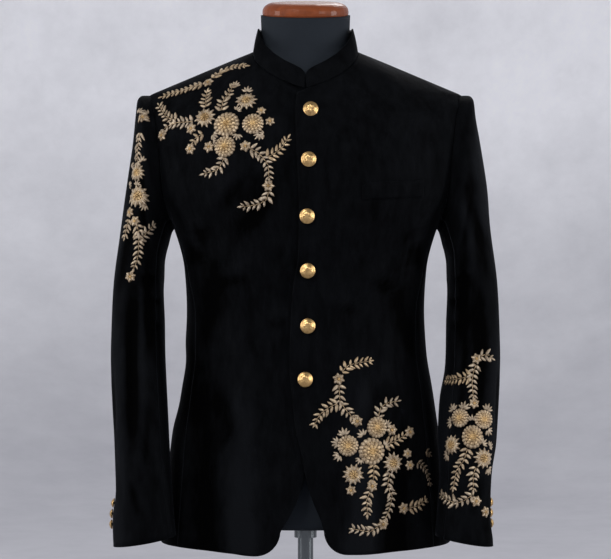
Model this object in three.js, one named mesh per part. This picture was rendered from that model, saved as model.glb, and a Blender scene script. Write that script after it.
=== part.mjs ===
import * as THREE from 'three';

// A bandhgala jacket in black velvet on a limbless dress form, in millimetres.
// +Z is up, the front faces -Y and the wearer's left side is +X.
// The origin is the middle of the underside of the stand's base.

// Cloth and seams
const WALL = 2;
const COLLAR_WALL = 2.4;
const TRIM = 0.2;
const SLEEVE_TRIM = 0.3;
const SEAT = 0.4;

// Shoulders: the tip where the sleeve is set in, and the side of the neck
const TIP = { x: 222, z: 868 };
const NECK_SIDE = { x: 74, z: 930 };
const RIDGE_SLOPE = (TIP.x - NECK_SIDE.x) / (NECK_SIDE.z - TIP.z);

// The jacket's outside at each height: half its width, its depth in front and
// behind, and how square the section is (2 is an ellipse)
const BODY_SECTIONS = [
  { z: 225, half: 206, front: 131, back: 127, square: 2.45 },
  { z: 300, half: 198, front: 128, back: 125, square: 2.45 },
  { z: 379, half: 190, front: 124, back: 121, square: 2.45 },
  { z: 450, half: 180, front: 120, back: 114, square: 2.45 },
  { z: 507, half: 171, front: 117, back: 106, square: 2.4 },
  { z: 564, half: 168, front: 118, back: 100, square: 2.4 },
  { z: 620, half: 171, front: 127, back: 104, square: 2.4 },
  { z: 679, half: 186, front: 137, back: 113, square: 2.4 },
  { z: 720, half: 208, front: 140, back: 119, square: 2.4 },
  { z: 770, half: 222, front: 137, back: 124, square: 2.3 },
  { z: 820, half: 232, front: 125, back: 124, square: 2.1 },
  { z: 845, half: 233, front: 113, back: 116, square: 1.95 },
  { z: 868, half: 222, front: 98, back: 102, square: 1.75 },
  { z: 890, half: 170, front: 92, back: 90, square: 1.7 },
  { z: 910, half: 122, front: 82, back: 78, square: 1.7 },
  { z: 930, half: 74, front: 66, back: 62, square: 1.95 },
];

// Soft folds of the body, as troughs (depth above 0) and swells (below 0).
// turn is degrees round from the centre front towards the wearer's left.
const BODY_FOLDS = [
  { turn: 33, lean: 4, low: 225, high: 520, width: 7, depth: -3.0 },
  { turn: 50, lean: 6, low: 225, high: 480, width: 6, depth: 2.6 },
  { turn: -36, lean: -5, low: 225, high: 500, width: 7, depth: -2.8 },
  { turn: -54, lean: -6, low: 225, high: 470, width: 6, depth: 2.6 },
  { turn: 58, lean: -16, low: 480, high: 640, width: 6, depth: 2.2 },
  { turn: -56, lean: 14, low: 500, high: 660, width: 6, depth: 2.4 },
  { turn: -30, lean: 18, low: 640, high: 760, width: 6, depth: 1.8 },
  { turn: 132, lean: 5, low: 225, high: 540, width: 7, depth: 3.0 },
  { turn: 152, lean: 3, low: 225, high: 500, width: 8, depth: -3.0 },
  { turn: -138, lean: -5, low: 225, high: 520, width: 7, depth: 3.2 },
  { turn: -157, lean: -3, low: 225, high: 480, width: 7, depth: -2.6 },
];

// Fronts: each front's free edge, in mm from the centre towards its own side.
// Below 0 it laps past the centre, and the wearer's left front lies on top.
const FRONT_EDGES = [
  { z: 267, over: 25, under: 34 },
  { z: 283, over: 20, under: 23.5 },
  { z: 304, over: 11, under: 13 },
  { z: 336, over: 1, under: 2 },
  { z: 369, over: -5, under: -3 },
  { z: 408, over: -14, under: -8 },
  { z: 444, over: -18, under: -12 },
  { z: 488, over: -22, under: -15 },
  { z: 534, over: -21, under: -16 },
  { z: 597, over: -17, under: -16 },
  { z: 643, over: -10, under: -16 },
  { z: 705, over: -9, under: -15 },
  { z: 770, over: -11.5, under: -15 },
  { z: 838, over: -14, under: -14 },
  { z: 863, over: -12, under: -12 },
];
const EDGE_TOP = 863;
const ROUND_Z = 267;
const OVER_ROUND = 32;
const UNDER_ROUND = 34;
const LAP_RECESS = 3.8;
const LAP_BLEND = 22;

// Neckline from the pit of the neck to its side
const NECKLINE = [
  { x: 0, z: 868 },
  { x: 16, z: 873.5 },
  { x: 32, z: 880 },
  { x: 48, z: 889 },
  { x: 62, z: 900.5 },
  { x: 70, z: 911.5 },
  { x: 73, z: 920 },
  { x: 74, z: 930 },
];

// Hem heights round the body
const HEM = [
  { turn: 0, z: 235 },
  { turn: 30, z: 235 },
  { turn: 66, z: 239 },
  { turn: 112, z: 238 },
  { turn: 180, z: 236 },
];

// Seams each side of the side body
const SIDE_SEAMS = [
  { z: 225, front: 66, back: 114 },
  { z: 400, front: 67, back: 115 },
  { z: 564, front: 69, back: 113 },
  { z: 700, front: 80, back: 101.5 },
];

// Armhole, seen from the side: an oval from under the arm to the shoulder tip.
// Its stations run from the tip, down the front, under the arm and up the back.
const ARMHOLE = { z: 773.5, high: 94.5, deep: 68 };
const FRONT_STATIONS = [0, 10, 24, 40, 57, 75, 93, 112, 131, 150];
const UNDER_STATIONS = [150, 166, 182, 199, 215];
const BACK_STATIONS = [215, 229, 248, 267, 285, 303, 320, 336, 350, 360];

// Sleeve rings from the armhole to the cuff: outermost and innermost point,
// middle and half of the depth
const SLEEVE_RINGS = [
  { at: 0, outX: 222, outZ: 868, inX: 186, inZ: 679, y: 0, deep: 68 },
  { at: 1, outX: 231, outZ: 867.5, inX: 188, inZ: 676.5, y: 0, deep: 72 },
  { at: 2, outX: 237.5, outZ: 861, inX: 190, inZ: 673, y: 0, deep: 76 },
  { at: 3, outX: 240, outZ: 838, inX: 192, inZ: 666, y: -2, deep: 78 },
  { at: 4, outX: 243.5, outZ: 800, inX: 194.5, inZ: 655, y: -5, deep: 78 },
  { at: 5, outX: 249, outZ: 760, inX: 197.5, inZ: 643, y: -8, deep: 77 },
  { at: 6, outX: 255.5, outZ: 712, inX: 199.5, inZ: 627, y: -12, deep: 75 },
  { at: 7, outX: 262, outZ: 660, inX: 199.5, inZ: 606, y: -18, deep: 72 },
  { at: 8, outX: 267.5, outZ: 616, inX: 198.5, inZ: 580, y: -25, deep: 68 },
  { at: 9, outX: 271, outZ: 570, inX: 197, inZ: 551, y: -34, deep: 64 },
  { at: 10, outX: 271.5, outZ: 521, inX: 196, inZ: 510, y: -44, deep: 60 },
  { at: 11, outX: 269.5, outZ: 473, inX: 193.5, inZ: 468, y: -54, deep: 57 },
  { at: 12, outX: 266, outZ: 424, inX: 190.5, inZ: 423, y: -64, deep: 53.5 },
  { at: 13, outX: 263, outZ: 376, inX: 187.5, inZ: 377, y: -74, deep: 50 },
  { at: 14, outX: 260.5, outZ: 328, inX: 184, inZ: 331, y: -83, deep: 47 },
  { at: 15, outX: 258.5, outZ: 285, inX: 180.5, inZ: 290, y: -91, deep: 44 },
  { at: 16, outX: 256.5, outZ: 244, inX: 177, inZ: 258, y: -98, deep: 41.5 },
];
const SLEEVE_SQUARE = 2.12;
const SETTLE_RING = 6;
const CUFF_FRONT_SEAM = 140;
const CUFF_BACK_SEAM = 322;

// Soft folds of a sleeve: angle round it from the outside towards the front
const SLEEVE_FOLDS = [
  { angle: 84, lean: -6, low: 7.5, high: 13.5, width: 13, depth: 3.2 },
  { angle: 48, lean: 10, low: 8.5, high: 15.5, width: 12, depth: -2.4 },
  { angle: 118, lean: 8, low: 6.2, high: 10.5, width: 12, depth: 3.0 },
  { angle: 205, lean: 20, low: 7, high: 10, width: 16, depth: 3.6 },
  { angle: 262, lean: -14, low: 6.5, high: 11.5, width: 14, depth: 3.4 },
  { angle: 300, lean: 8, low: 9, high: 15, width: 14, depth: -2.4 },
];

// Collar: a standing band that leans in towards its top
const COLLAR = { topHalf: 67.5, topFront: 80, topBack: 58 };
const COLLAR_HEIGHT = { front: 28, side: 32, back: 36 };
const COLLAR_GAP = 0.45;
const COLLAR_ROWS = 3;
const COLLAR_END = [
  { x: 2.2, share: 0.62 },
  { x: 4.2, share: 0.86 },
  { x: 8.5, share: 0.97 },
];

// Breast pocket welt on the wearer's left
const WELT = { inner: 76, outer: 160, bottom: 715, high: 22, rise: 5 };
const WELT_COLUMNS = 6;

// Buttons: place down the front, and place along and round the cuff
const FRONT_BUTTONS = [
  { x: 7, z: 838 },
  { x: 4.3, z: 768.7 },
  { x: 2.2, z: 692.2 },
  { x: 3, z: 619 },
  { x: 3.2, z: 544 },
  { x: -0.4, z: 471.5 },
];
const FRONT_BUTTON = { radius: 10.2, high: 7.8, sides: 14 };
const CUFF_BUTTON_RINGS = [14.64, 14.975, 15.31];
const CUFF_BUTTON_ANGLE = { left: 347, right: 357 };
const CUFF_BUTTON = { radius: 6.6, high: 5.2, sides: 10 };

// Dress form: padded torso and neck, turned cap, pole and round base
const FORM_SECTIONS = [
  { z: 264, half: 140, front: 99, back: 97, square: 2.3 },
  { z: 269, half: 146, front: 104, back: 102, square: 2.3 },
  { z: 300, half: 151, front: 106, back: 105, square: 2.3 },
  { z: 360, half: 156, front: 106, back: 108, square: 2.3 },
  { z: 430, half: 156, front: 105, back: 105, square: 2.3 },
  { z: 500, half: 148, front: 102, back: 94, square: 2.3 },
  { z: 564, half: 144, front: 102, back: 86, square: 2.3 },
  { z: 620, half: 154, front: 112, back: 92, square: 2.3 },
  { z: 680, half: 170, front: 124, back: 103, square: 2.3 },
  { z: 740, half: 180, front: 128, back: 110, square: 2.2 },
  { z: 790, half: 187, front: 122, back: 112, square: 2.1 },
  { z: 830, half: 196, front: 106, back: 104, square: 1.85 },
  { z: 855, half: 203, front: 94, back: 94, square: 1.5 },
  { z: 872.1, half: 206, front: 84, back: 87, square: 1.3 },
  { z: 888, half: 168.2, front: 76, back: 77, square: 1.18 },
  { z: 904, half: 130, front: 71, back: 66, square: 1.12 },
  { z: 916, half: 101.3, front: 68, back: 59, square: 1.2 },
  { z: 923.5, half: 83.2, front: 65, back: 53.5, square: 1.15 },
  { z: 930, half: 66.2, front: 65, back: 54, square: 1.6 },
  { z: 942, half: 64.6, front: 65, back: 54.5, square: 1.95 },
  { z: 962, half: 62.8, front: 64, back: 53.2, square: 1.95 },
  { z: 981, half: 63.5, front: 64, back: 53.5, square: 1.95 },
];
const FORM_SIDES = 32;
const NECK_MIDDLE = -5.5;
const NECK_TOP = 981;
const NECK_TILT = 11.2 * (Math.PI / 180);
const CAP = { radius: 61, high: 18, edge: 17, fall: 13, steps: 6, sides: 40 };
const POLE = { radius: 11, bottom: 26 };
const FLANGE = { radius: 34, high: 7, bore: 16, neck: 22 };
const BASE = { radius: 180, rim: 9, high: 26, socket: 20 };

// Finishes
const VELVET = { color: 0x0b0c0f, roughness: 0.9, metalness: 0 };
const ANTIQUE_GOLD = { color: 0xb98f4e, roughness: 0.35, metalness: 1 };
const FORM_CLOTH = { color: 0x2b3038, roughness: 0.85, metalness: 0 };
const VARNISHED_WOOD = { color: 0x5a2a1c, roughness: 0.3, metalness: 0 };
const CHROME = { color: 0xc8ccd0, roughness: 0.15, metalness: 1 };
const POWDER_COAT = { color: 0x1a1b1d, roughness: 0.5, metalness: 0.3 };

const DEGREE = Math.PI / 180;
const jacket = new THREE.Group();

// A smooth value between the rows of a table, with no overshoot
function between(rows, key, at, by = 'z') {
  const last = rows.length - 1;
  if (at <= rows[0][by]) return rows[0][key];
  if (at >= rows[last][by]) return rows[last][key];
  const i = rows.findIndex((row, k) => at < rows[k + 1][by]);
  const slope = (k) => (rows[k + 1][key] - rows[k][key]) / (rows[k + 1][by] - rows[k][by]);
  const tangent = (k) => {
    if (k === 0) return slope(0);
    if (k === last) return slope(last - 1);
    const before = slope(k - 1);
    const after = slope(k);
    return before * after > 0 ? (2 * before * after) / (before + after) : 0;
  };
  const span = rows[i + 1][by] - rows[i][by];
  const t = (at - rows[i][by]) / span;
  const start = (1 + 2 * t) * (1 - t) ** 2 * rows[i][key] + t * (1 - t) ** 2 * span * tangent(i);
  const end = t * t * (3 - 2 * t) * rows[i + 1][key] - t * t * (1 - t) * span * tangent(i + 1);
  return start + end;
}

// A value on straight lines between the rows of a table
function straight(rows, key, at, by) {
  const k = Math.max(1, rows.findIndex((row) => row[by] >= at));
  const [a, b] = [rows[k - 1], rows[k]];
  return a[key] + ((b[key] - a[key]) * (at - a[by])) / (b[by] - a[by]);
}

const mix = (a, b, t) => a + (b - a) * t;
const power = (value, exponent) => Math.sign(value) * Math.abs(value) ** exponent;

function ease(from, to, at) {
  const t = Math.min(1, Math.max(0, (at - from) / (to - from)));
  return t * t * (3 - 2 * t);
}

// Sum of the folds in a table at one place, fading in and out along each fold
function foldDepth(folds, across, along, acrossKey, wrap) {
  let depth = 0;
  for (const fold of folds) {
    if (along <= fold.low || along >= fold.high) continue;
    const share = (along - fold.low) / (fold.high - fold.low);
    let off = across - fold[acrossKey] - fold.lean * (share - 0.5);
    if (wrap) off = ((off + 540) % 360) - 180;
    const closedBelow = wrap || fold.low > BODY_SECTIONS[0].z;
    const open = closedBelow ? Math.sin(Math.PI * share) : Math.cos((Math.PI / 2) * share);
    depth += fold.depth * open ** 1.2 * Math.exp(-((off / fold.width) ** 2));
  }
  return depth;
}

// Half the body's width: the table up to the tip, then the straight shoulder
function bodyHalf(z) {
  return z > TIP.z ? TIP.x - (z - TIP.z) * RIDGE_SLOPE : between(BODY_SECTIONS, 'half', z);
}

// Point of the jacket's outside at a turn, in degrees from the front, and a height
function bodyPoint(turn, z, recess = 0) {
  const sine = Math.sin(turn * DEGREE);
  const cosine = Math.cos(turn * DEGREE);
  const depth = between(BODY_SECTIONS, cosine > 0 ? 'front' : 'back', z);
  const square = between(BODY_SECTIONS, 'square', z);
  const across = (Math.abs(sine) / bodyHalf(z)) ** square + (Math.abs(cosine) / depth) ** square;
  const radius = across ** (-1 / square) - foldDepth(BODY_FOLDS, turn, z, 'turn', false) - recess;
  return new THREE.Vector3(radius * sine, -radius * cosine, z);
}

// Turn of the point on the front half that lies at x and z
function turnAt(x, z) {
  const square = between(BODY_SECTIONS, 'square', z);
  const depth = between(BODY_SECTIONS, 'front', z);
  const y = depth * (1 - (Math.abs(x) / bodyHalf(z)) ** square) ** (1 / square);
  return Math.atan2(x, y) / DEGREE;
}

// Unit vector out of a surface that a function gives for two parameters
function normalOf(surface, u, v, du, dv) {
  const alongU = surface(u + du, v).sub(surface(u - du, v));
  const alongV = surface(u, v + dv).sub(surface(u, v - dv));
  return alongU.cross(alongV).normalize();
}

const bodyNormal = (turn, z) => normalOf((u, v) => bodyPoint(u, v), turn, z, 0.4, 0.8);

// Point of the armhole at an angle from the shoulder tip, through the front
function armholeNode(angle) {
  const z = ARMHOLE.z + ARMHOLE.high * Math.cos(angle * DEGREE);
  const y = -ARMHOLE.deep * Math.sin(angle * DEGREE);
  const depth = between(BODY_SECTIONS, y < 0 ? 'front' : 'back', z);
  const square = between(BODY_SECTIONS, 'square', z);
  const x = bodyHalf(z) * (1 - (Math.abs(y) / depth) ** square) ** (1 / square);
  return { turn: Math.atan2(x, -y) / DEGREE, z };
}

// Nodes of a panel, filled in between its four edges
function fillPanel(bottom, top, left, right) {
  const columns = bottom.length - 1;
  const rows = left.length - 1;
  const value = (key, i, j) => {
    const u = i / columns;
    const v = j / rows;
    const edges = mix(bottom[i][key], top[i][key], v) + mix(left[j][key], right[j][key], u);
    const bottomCorners = mix(bottom[0][key], bottom[columns][key], u);
    const topCorners = mix(top[0][key], top[columns][key], u);
    return edges - mix(bottomCorners, topCorners, v);
  };
  return left.map((row, j) => bottom.map((column, i) => ({ turn: value('turn', i, j), z: value('z', i, j) })));
}

// Moves the points on one side of a grid towards their neighbours
function trimSide(grid, side, gap) {
  const rows = grid.length - 1;
  const columns = grid[0].length - 1;
  const pull = (edge, inside) => edge.add(inside.clone().sub(edge).setLength(gap));
  if (side === 'bottom') grid[0].forEach((point, i) => pull(point, grid[1][i]));
  if (side === 'top') grid[rows].forEach((point, i) => pull(point, grid[rows - 1][i]));
  if (side === 'left') grid.forEach((row) => pull(row[0], row[1]));
  if (side === 'right') grid.forEach((row) => pull(row[columns], row[columns - 1]));
}

function makeMesh(name, positions, triangles, finish) {
  const corner = (k) => new THREE.Vector3().fromArray(positions, 3 * k);
  let volume = 0;
  for (let k = 0; k < triangles.length; k += 3) {
    volume += corner(triangles[k]).dot(corner(triangles[k + 1]).cross(corner(triangles[k + 2])));
  }
  const outward = volume > 0 ? triangles : triangles.slice().reverse();
  const geometry = new THREE.BufferGeometry();
  geometry.setAttribute('position', new THREE.Float32BufferAttribute(positions, 3));
  geometry.setIndex(outward);
  geometry.computeVertexNormals();
  const mesh = new THREE.Mesh(geometry, new THREE.MeshStandardMaterial(finish));
  mesh.name = name;
  return mesh;
}

// A wall of cloth between a grid of outer points and a like grid of inner ones
function makeWall(name, outer, inner, finish) {
  const rows = outer.length;
  const columns = outer[0].length;
  const positions = [...outer.flat(), ...inner.flat()].flatMap((point) => point.toArray());
  const triangles = [];
  const half = rows * columns;
  const quad = (a, b, c, d) => triangles.push(a, b, c, a, c, d);
  for (let j = 0; j < rows - 1; j += 1) {
    for (let i = 0; i < columns - 1; i += 1) {
      const a = j * columns + i;
      const [b, c, d] = [a + 1, a + columns + 1, a + columns];
      const oneWay = outer[j][i].distanceTo(outer[j + 1][i + 1]);
      const otherWay = outer[j][i + 1].distanceTo(outer[j + 1][i]);
      if (oneWay <= otherWay) {
        quad(a, b, c, d);
        quad(half + c, half + b, half + a, half + d);
      } else {
        quad(b, c, d, a);
        quad(half + b, half + a, half + d, half + c);
      }
    }
  }
  const rim = [];
  for (let i = 0; i < columns - 1; i += 1) rim.push(i);
  for (let j = 0; j < rows - 1; j += 1) rim.push(j * columns + columns - 1);
  for (let i = columns - 1; i > 0; i -= 1) rim.push((rows - 1) * columns + i);
  for (let j = rows - 1; j > 0; j -= 1) rim.push(j * columns);
  rim.forEach((point, k) => {
    const next = rim[(k + 1) % rim.length];
    quad(next, point, half + point, half + next);
  });
  return makeMesh(name, positions, triangles, finish);
}

const mirror = (grid, side) => grid.forEach((row) => row.forEach((point) => point.setX(point.x * side)));

// A body panel from its nodes; recess gives how far a place lies under the lap
function makePanel(name, nodes, side, trims, recess = () => 0) {
  const surface = (turn, z) => bodyPoint(side * turn, z);
  const outer = nodes.map((row) => row.map(({ turn, z }) => {
    const point = surface(turn, z);
    const out = bodyNormal(side * turn, z);
    return point.addScaledVector(out, -recess(side * point.x, z));
  }));
  const inner = nodes.map((row, j) => row.map(({ turn, z }, i) => {
    return outer[j][i].clone().addScaledVector(bodyNormal(side * turn, z), -WALL);
  }));
  for (const edge of trims) {
    trimSide(outer, edge, TRIM);
    trimSide(inner, edge, TRIM);
  }
  jacket.add(makeWall(name, outer, inner, VELVET));
}

// Seam nodes from the hem up to the armhole, evenly spaced
const SEAM_ROWS = 14;
const ARM_ROWS = FRONT_STATIONS.length - 1;

function seamNodes(key, topNode) {
  const bottomTurn = SIDE_SEAMS[0][key];
  const bottom = between(HEM, 'z', bottomTurn, 'turn');
  return Array.from({ length: SEAM_ROWS + 1 }, (unused, j) => {
    const z = mix(bottom, topNode.z, j / SEAM_ROWS);
    const blend = ease(SEAM_ROWS - 4, SEAM_ROWS, j);
    return { turn: mix(between(SIDE_SEAMS, key, z), topNode.turn, blend), z };
  });
}

const frontSeam = seamNodes('front', armholeNode(150));
const backSeam = seamNodes('back', armholeNode(215));
const frontArm = FRONT_STATIONS.slice(0, -1).reverse().map(armholeNode);
const backArm = BACK_STATIONS.slice(1).map(armholeNode);

// Shoulder seam nodes from the side of the neck to the tip
const SHOULDER_COLUMNS = 5;
const shoulderSeam = Array.from({ length: SHOULDER_COLUMNS }, (unused, i) => {
  return { turn: 90, z: mix(NECK_SIDE.z, TIP.z, (i + 1) / SHOULDER_COLUMNS) };
});

// Free edge of a front at a height, with its round corner at the hem
function edgeAt(z, key, round) {
  const bottom = FRONT_EDGES[0][key];
  if (z >= ROUND_Z) return between(FRONT_EDGES, key, z);
  return bottom + round - Math.sqrt(round ** 2 - (ROUND_Z - z) ** 2);
}

// A front, with its lap, round corner, neckline, shoulder, armhole and seam
function makeFront(name, side, key, round, recess) {
  const rows = SEAM_ROWS + ARM_ROWS;
  const start = ROUND_Z - round * Math.SQRT1_2;
  const left = Array.from({ length: rows + 1 }, (unused, j) => {
    const z = mix(start, EDGE_TOP, (j / rows) ** 1.15);
    return { turn: turnAt(edgeAt(z, key, round), z), z };
  });
  const right = [...frontSeam, ...frontArm];
  const neck = NECKLINE.map(({ x, z }) => ({ turn: turnAt(x, z), z }));
  const top = [left[rows], ...neck, ...shoulderSeam];
  const columns = top.length - 1;
  const cornerX = FRONT_EDGES[0][key] + round;
  const roundColumns = 3;
  const bottom = top.map((unused, i) => {
    if (i < roundColumns) {
      const angle = (45 + (45 * i) / roundColumns) * DEGREE;
      const z = ROUND_Z - round * Math.sin(angle);
      return { turn: turnAt(cornerX - round * Math.cos(angle), z), z };
    }
    const share = (i - roundColumns) / (columns - roundColumns);
    const turn = mix(turnAt(cornerX, ROUND_Z - round), frontSeam[0].turn, share);
    return { turn, z: mix(ROUND_Z - round, between(HEM, 'z', turn, 'turn'), ease(0, 0.3, share)) };
  });
  makePanel(name, fillPanel(bottom, top, left, right), side, ['top', 'right'], recess);
}

const lapLine = (z) => -between(FRONT_EDGES, 'over', z);
const underLap = (x, z) => LAP_RECESS * (1 - ease(lapLine(z) + 2, lapLine(z) + LAP_BLEND, x));
makeFront('front_left', 1, 'over', OVER_ROUND, () => 0);
makeFront('front_right', -1, 'under', UNDER_ROUND, underLap);

// Side bodies under the arms
const underArm = UNDER_STATIONS.map(armholeNode);
for (const [name, side] of [['side_left', 1], ['side_right', -1]]) {
  const bottom = underArm.map((unused, i) => {
    const turn = mix(frontSeam[0].turn, backSeam[0].turn, i / (underArm.length - 1));
    return { turn, z: between(HEM, 'z', turn, 'turn') };
  });
  makePanel(name, fillPanel(bottom, underArm, frontSeam, backSeam), side, ['left', 'right']);
}

// Backs, joined down the centre
const BACK_NECK_COLUMNS = 4;
for (const [name, side] of [['back_left', 1], ['back_right', -1]]) {
  const neck = Array.from({ length: BACK_NECK_COLUMNS + 1 }, (unused, i) => {
    return { turn: mix(180, 90, i / BACK_NECK_COLUMNS), z: NECK_SIDE.z };
  });
  const top = [...neck, ...shoulderSeam];
  const right = [...backSeam, ...backArm];
  const left = right.map((unused, j) => {
    return { turn: 180, z: mix(between(HEM, 'z', 180, 'turn'), NECK_SIDE.z, j / (right.length - 1)) };
  });
  const bottom = top.map((unused, i) => {
    const turn = mix(180, backSeam[0].turn, i / (top.length - 1));
    return { turn, z: between(HEM, 'z', turn, 'turn') };
  });
  makePanel(name, fillPanel(bottom, top, left, right), side, ['left', 'top', 'right']);
}

// Point of the left sleeve's outside at an angle and along its rings
function sleevePoint(angle, at) {
  const ring = (key) => between(SLEEVE_RINGS, key, at, 'at');
  const outer = new THREE.Vector3(ring('outX'), ring('y'), ring('outZ'));
  const inner = new THREE.Vector3(ring('inX'), ring('y'), ring('inZ'));
  const middle = outer.clone().add(inner).multiplyScalar(0.5);
  const reach = outer.clone().sub(middle);
  const point = middle.clone();
  point.addScaledVector(reach, power(Math.cos(angle * DEGREE), 2 / SLEEVE_SQUARE));
  point.y -= ring('deep') * power(Math.sin(angle * DEGREE), 2 / SLEEVE_SQUARE);
  const fold = foldDepth(SLEEVE_FOLDS, angle, at, 'angle', true);
  point.addScaledVector(point.clone().sub(middle).normalize(), -fold);
  if (at >= 1) return point;
  const node = armholeNode(angle);
  const seat = bodyPoint(node.turn, node.z);
  const centre = new THREE.Vector3(TIP.x - 8, 0, ARMHOLE.z);
  const inward = centre.sub(seat);
  const out = bodyNormal(node.turn, node.z);
  inward.addScaledVector(out, -inward.dot(out)).setLength(SEAT);
  return seat.add(inward).lerp(point, at);
}

// Angle of each line of points that runs down the sleeve
const SLEEVE_STATIONS = [...FRONT_STATIONS, ...UNDER_STATIONS.slice(1), ...BACK_STATIONS.slice(1)];
const FRONT_SEAM_STATION = 9;
const BACK_SEAM_STATION = 17;
const LAST_STATION = SLEEVE_STATIONS.length - 1;

function sleeveAngle(station, at) {
  const cuffLine = [
    { k: 0, angle: 0 },
    { k: FRONT_SEAM_STATION, angle: CUFF_FRONT_SEAM },
    { k: BACK_SEAM_STATION, angle: CUFF_BACK_SEAM },
    { k: LAST_STATION, angle: 360 },
  ];
  const k = (station + LAST_STATION) % LAST_STATION;
  const whole = station < 0 ? 360 : 0;
  return mix(SLEEVE_STATIONS[k], straight(cuffLine, 'angle', k, 'k'), ease(0, SETTLE_RING, at)) - whole;
}

function makeSleevePiece(name, side, stations) {
  const lines = (thickness) => SLEEVE_RINGS.map(({ at }) => stations.map((station) => {
    const angle = sleeveAngle(station, at);
    const point = sleevePoint(angle, at);
    const near = Math.min(Math.max(at, 0.1), SLEEVE_RINGS.length - 1.1);
    const out = normalOf(sleevePoint, angle, near, 1, 0.09);
    return point.addScaledVector(out, thickness);
  }));
  const outer = lines(0);
  const inner = lines(-WALL);
  for (const edge of ['left', 'right']) {
    trimSide(outer, edge, SLEEVE_TRIM);
    trimSide(inner, edge, SLEEVE_TRIM);
  }
  mirror(outer, side);
  mirror(inner, side);
  jacket.add(makeWall(name, outer, inner, VELVET));
}

const range = (from, to) => Array.from({ length: to - from + 1 }, (unused, k) => from + k);
const topStations = range(BACK_SEAM_STATION - LAST_STATION, FRONT_SEAM_STATION);
const underStations = range(FRONT_SEAM_STATION, BACK_SEAM_STATION);
for (const [word, side] of [['left', 1], ['right', -1]]) {
  makeSleevePiece(`sleeve_top_${word}`, side, topStations);
  makeSleevePiece(`sleeve_under_${word}`, side, underStations);
}

// Collar stations from the centre front, round the neck, to the centre back
function collarHalf() {
  const stations = [];
  const leanIn = {
    side: COLLAR.topHalf / NECK_SIDE.x,
    front: COLLAR.topFront / between(BODY_SECTIONS, 'front', TIP.z),
    back: COLLAR.topBack / between(BODY_SECTIONS, 'back', NECK_SIDE.z),
  };
  const add = (base, height, share) => {
    const top = base.clone();
    top.x *= leanIn.side;
    top.y *= base.y < 0 ? leanIn.front : leanIn.back;
    top.z += height;
    stations.push({ base, top, share });
  };
  const frontXs = [...COLLAR_END, ...NECKLINE.slice(1).map(({ x }) => ({ x, share: 1 }))];
  for (const { x, share } of frontXs) {
    const z = straight(NECKLINE, 'z', x, 'x');
    const height = mix(COLLAR_HEIGHT.front, COLLAR_HEIGHT.side, x / NECK_SIDE.x);
    add(bodyPoint(turnAt(x, z), z), height, share);
  }
  for (let i = 1; i <= BACK_NECK_COLUMNS; i += 1) {
    const share = i / BACK_NECK_COLUMNS;
    const height = mix(COLLAR_HEIGHT.side, COLLAR_HEIGHT.back, share);
    add(bodyPoint(mix(90, 180, share), NECK_SIDE.z), height, 1);
  }
  return stations;
}

const leftCollar = collarHalf();
const rightCollar = collarHalf().reverse().slice(1);
for (const station of rightCollar) {
  station.base.x *= -1;
  station.top.x *= -1;
}
const collarLine = [...leftCollar, ...rightCollar];
const collarOuter = [];
const collarInner = [];
for (let j = 0; j <= COLLAR_ROWS; j += 1) {
  const line = collarLine.map(({ base, top, share }) => {
    const rise = top.clone().sub(base);
    const from = base.clone().addScaledVector(rise.clone().normalize(), COLLAR_GAP);
    return from.lerp(base.clone().addScaledVector(rise, share), j / COLLAR_ROWS);
  });
  collarOuter.push(line);
  collarInner.push(line.map((point, k) => {
    const along = line[Math.min(k + 1, line.length - 1)].clone().sub(line[Math.max(k - 1, 0)]);
    const inward = new THREE.Vector3(-along.y, along.x, 0).setLength(COLLAR_WALL);
    return point.clone().add(inward);
  }));
}
jacket.add(makeWall('collar', collarOuter, collarInner, VELVET));

// Breast welt: a folded strip of velvet on the front's own points, moved out
const weltOuter = [];
const weltInner = [];
for (const share of [0, 0.5, 1]) {
  const line = (out) => Array.from({ length: WELT_COLUMNS + 1 }, (unused, i) => {
    const x = mix(WELT.inner, WELT.outer, i / WELT_COLUMNS);
    const z = WELT.bottom + share * WELT.high + (WELT.rise * i) / WELT_COLUMNS;
    const turn = turnAt(x, z);
    return bodyPoint(turn, z).addScaledVector(bodyNormal(turn, z), out);
  });
  weltOuter.push(line(SEAT + WALL));
  weltInner.push(line(SEAT));
}
jacket.add(makeWall('breast_welt', weltOuter, weltInner, VELVET));

// A solid of revolution about Z from rows of radius and height
function makeTurned(name, profile, sides, finish) {
  const points = profile.map(([radius, height]) => new THREE.Vector2(radius, height));
  const geometry = new THREE.LatheGeometry(points, sides);
  geometry.rotateX(Math.PI / 2);
  const mesh = new THREE.Mesh(geometry, new THREE.MeshStandardMaterial(finish));
  mesh.name = name;
  return mesh;
}

// A domed shank button that stands on a place of the cloth
function makeButton(name, size, place, out) {
  const { radius, high, sides } = size;
  const profile = [
    [0, SEAT],
    [radius * 0.26, SEAT],
    [radius * 0.26, high * 0.24],
    [radius * 0.93, high * 0.26],
    [radius, high * 0.38],
    [radius * 0.95, high * 0.52],
    [radius * 0.74, high * 0.8],
    [radius * 0.4, high * 0.96],
    [0, high],
  ];
  const button = makeTurned(name, profile, sides, ANTIQUE_GOLD);
  button.quaternion.setFromUnitVectors(new THREE.Vector3(0, 0, 1), out);
  button.position.copy(place);
  jacket.add(button);
}

FRONT_BUTTONS.forEach(({ x, z }, k) => {
  const turn = turnAt(x, z);
  makeButton(`button_front_${k + 1}`, FRONT_BUTTON, bodyPoint(turn, z), bodyNormal(turn, z));
});

for (const [word, side] of [['left', 1], ['right', -1]]) {
  CUFF_BUTTON_RINGS.forEach((ring, k) => {
    const angle = CUFF_BUTTON_ANGLE[word];
    const place = sleevePoint(angle, ring);
    const out = normalOf(sleevePoint, angle, ring, 1, 0.09);
    place.x *= side;
    out.x *= side;
    makeButton(`button_cuff_${word}_${k + 1}`, CUFF_BUTTON, place, out);
  });
}

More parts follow.
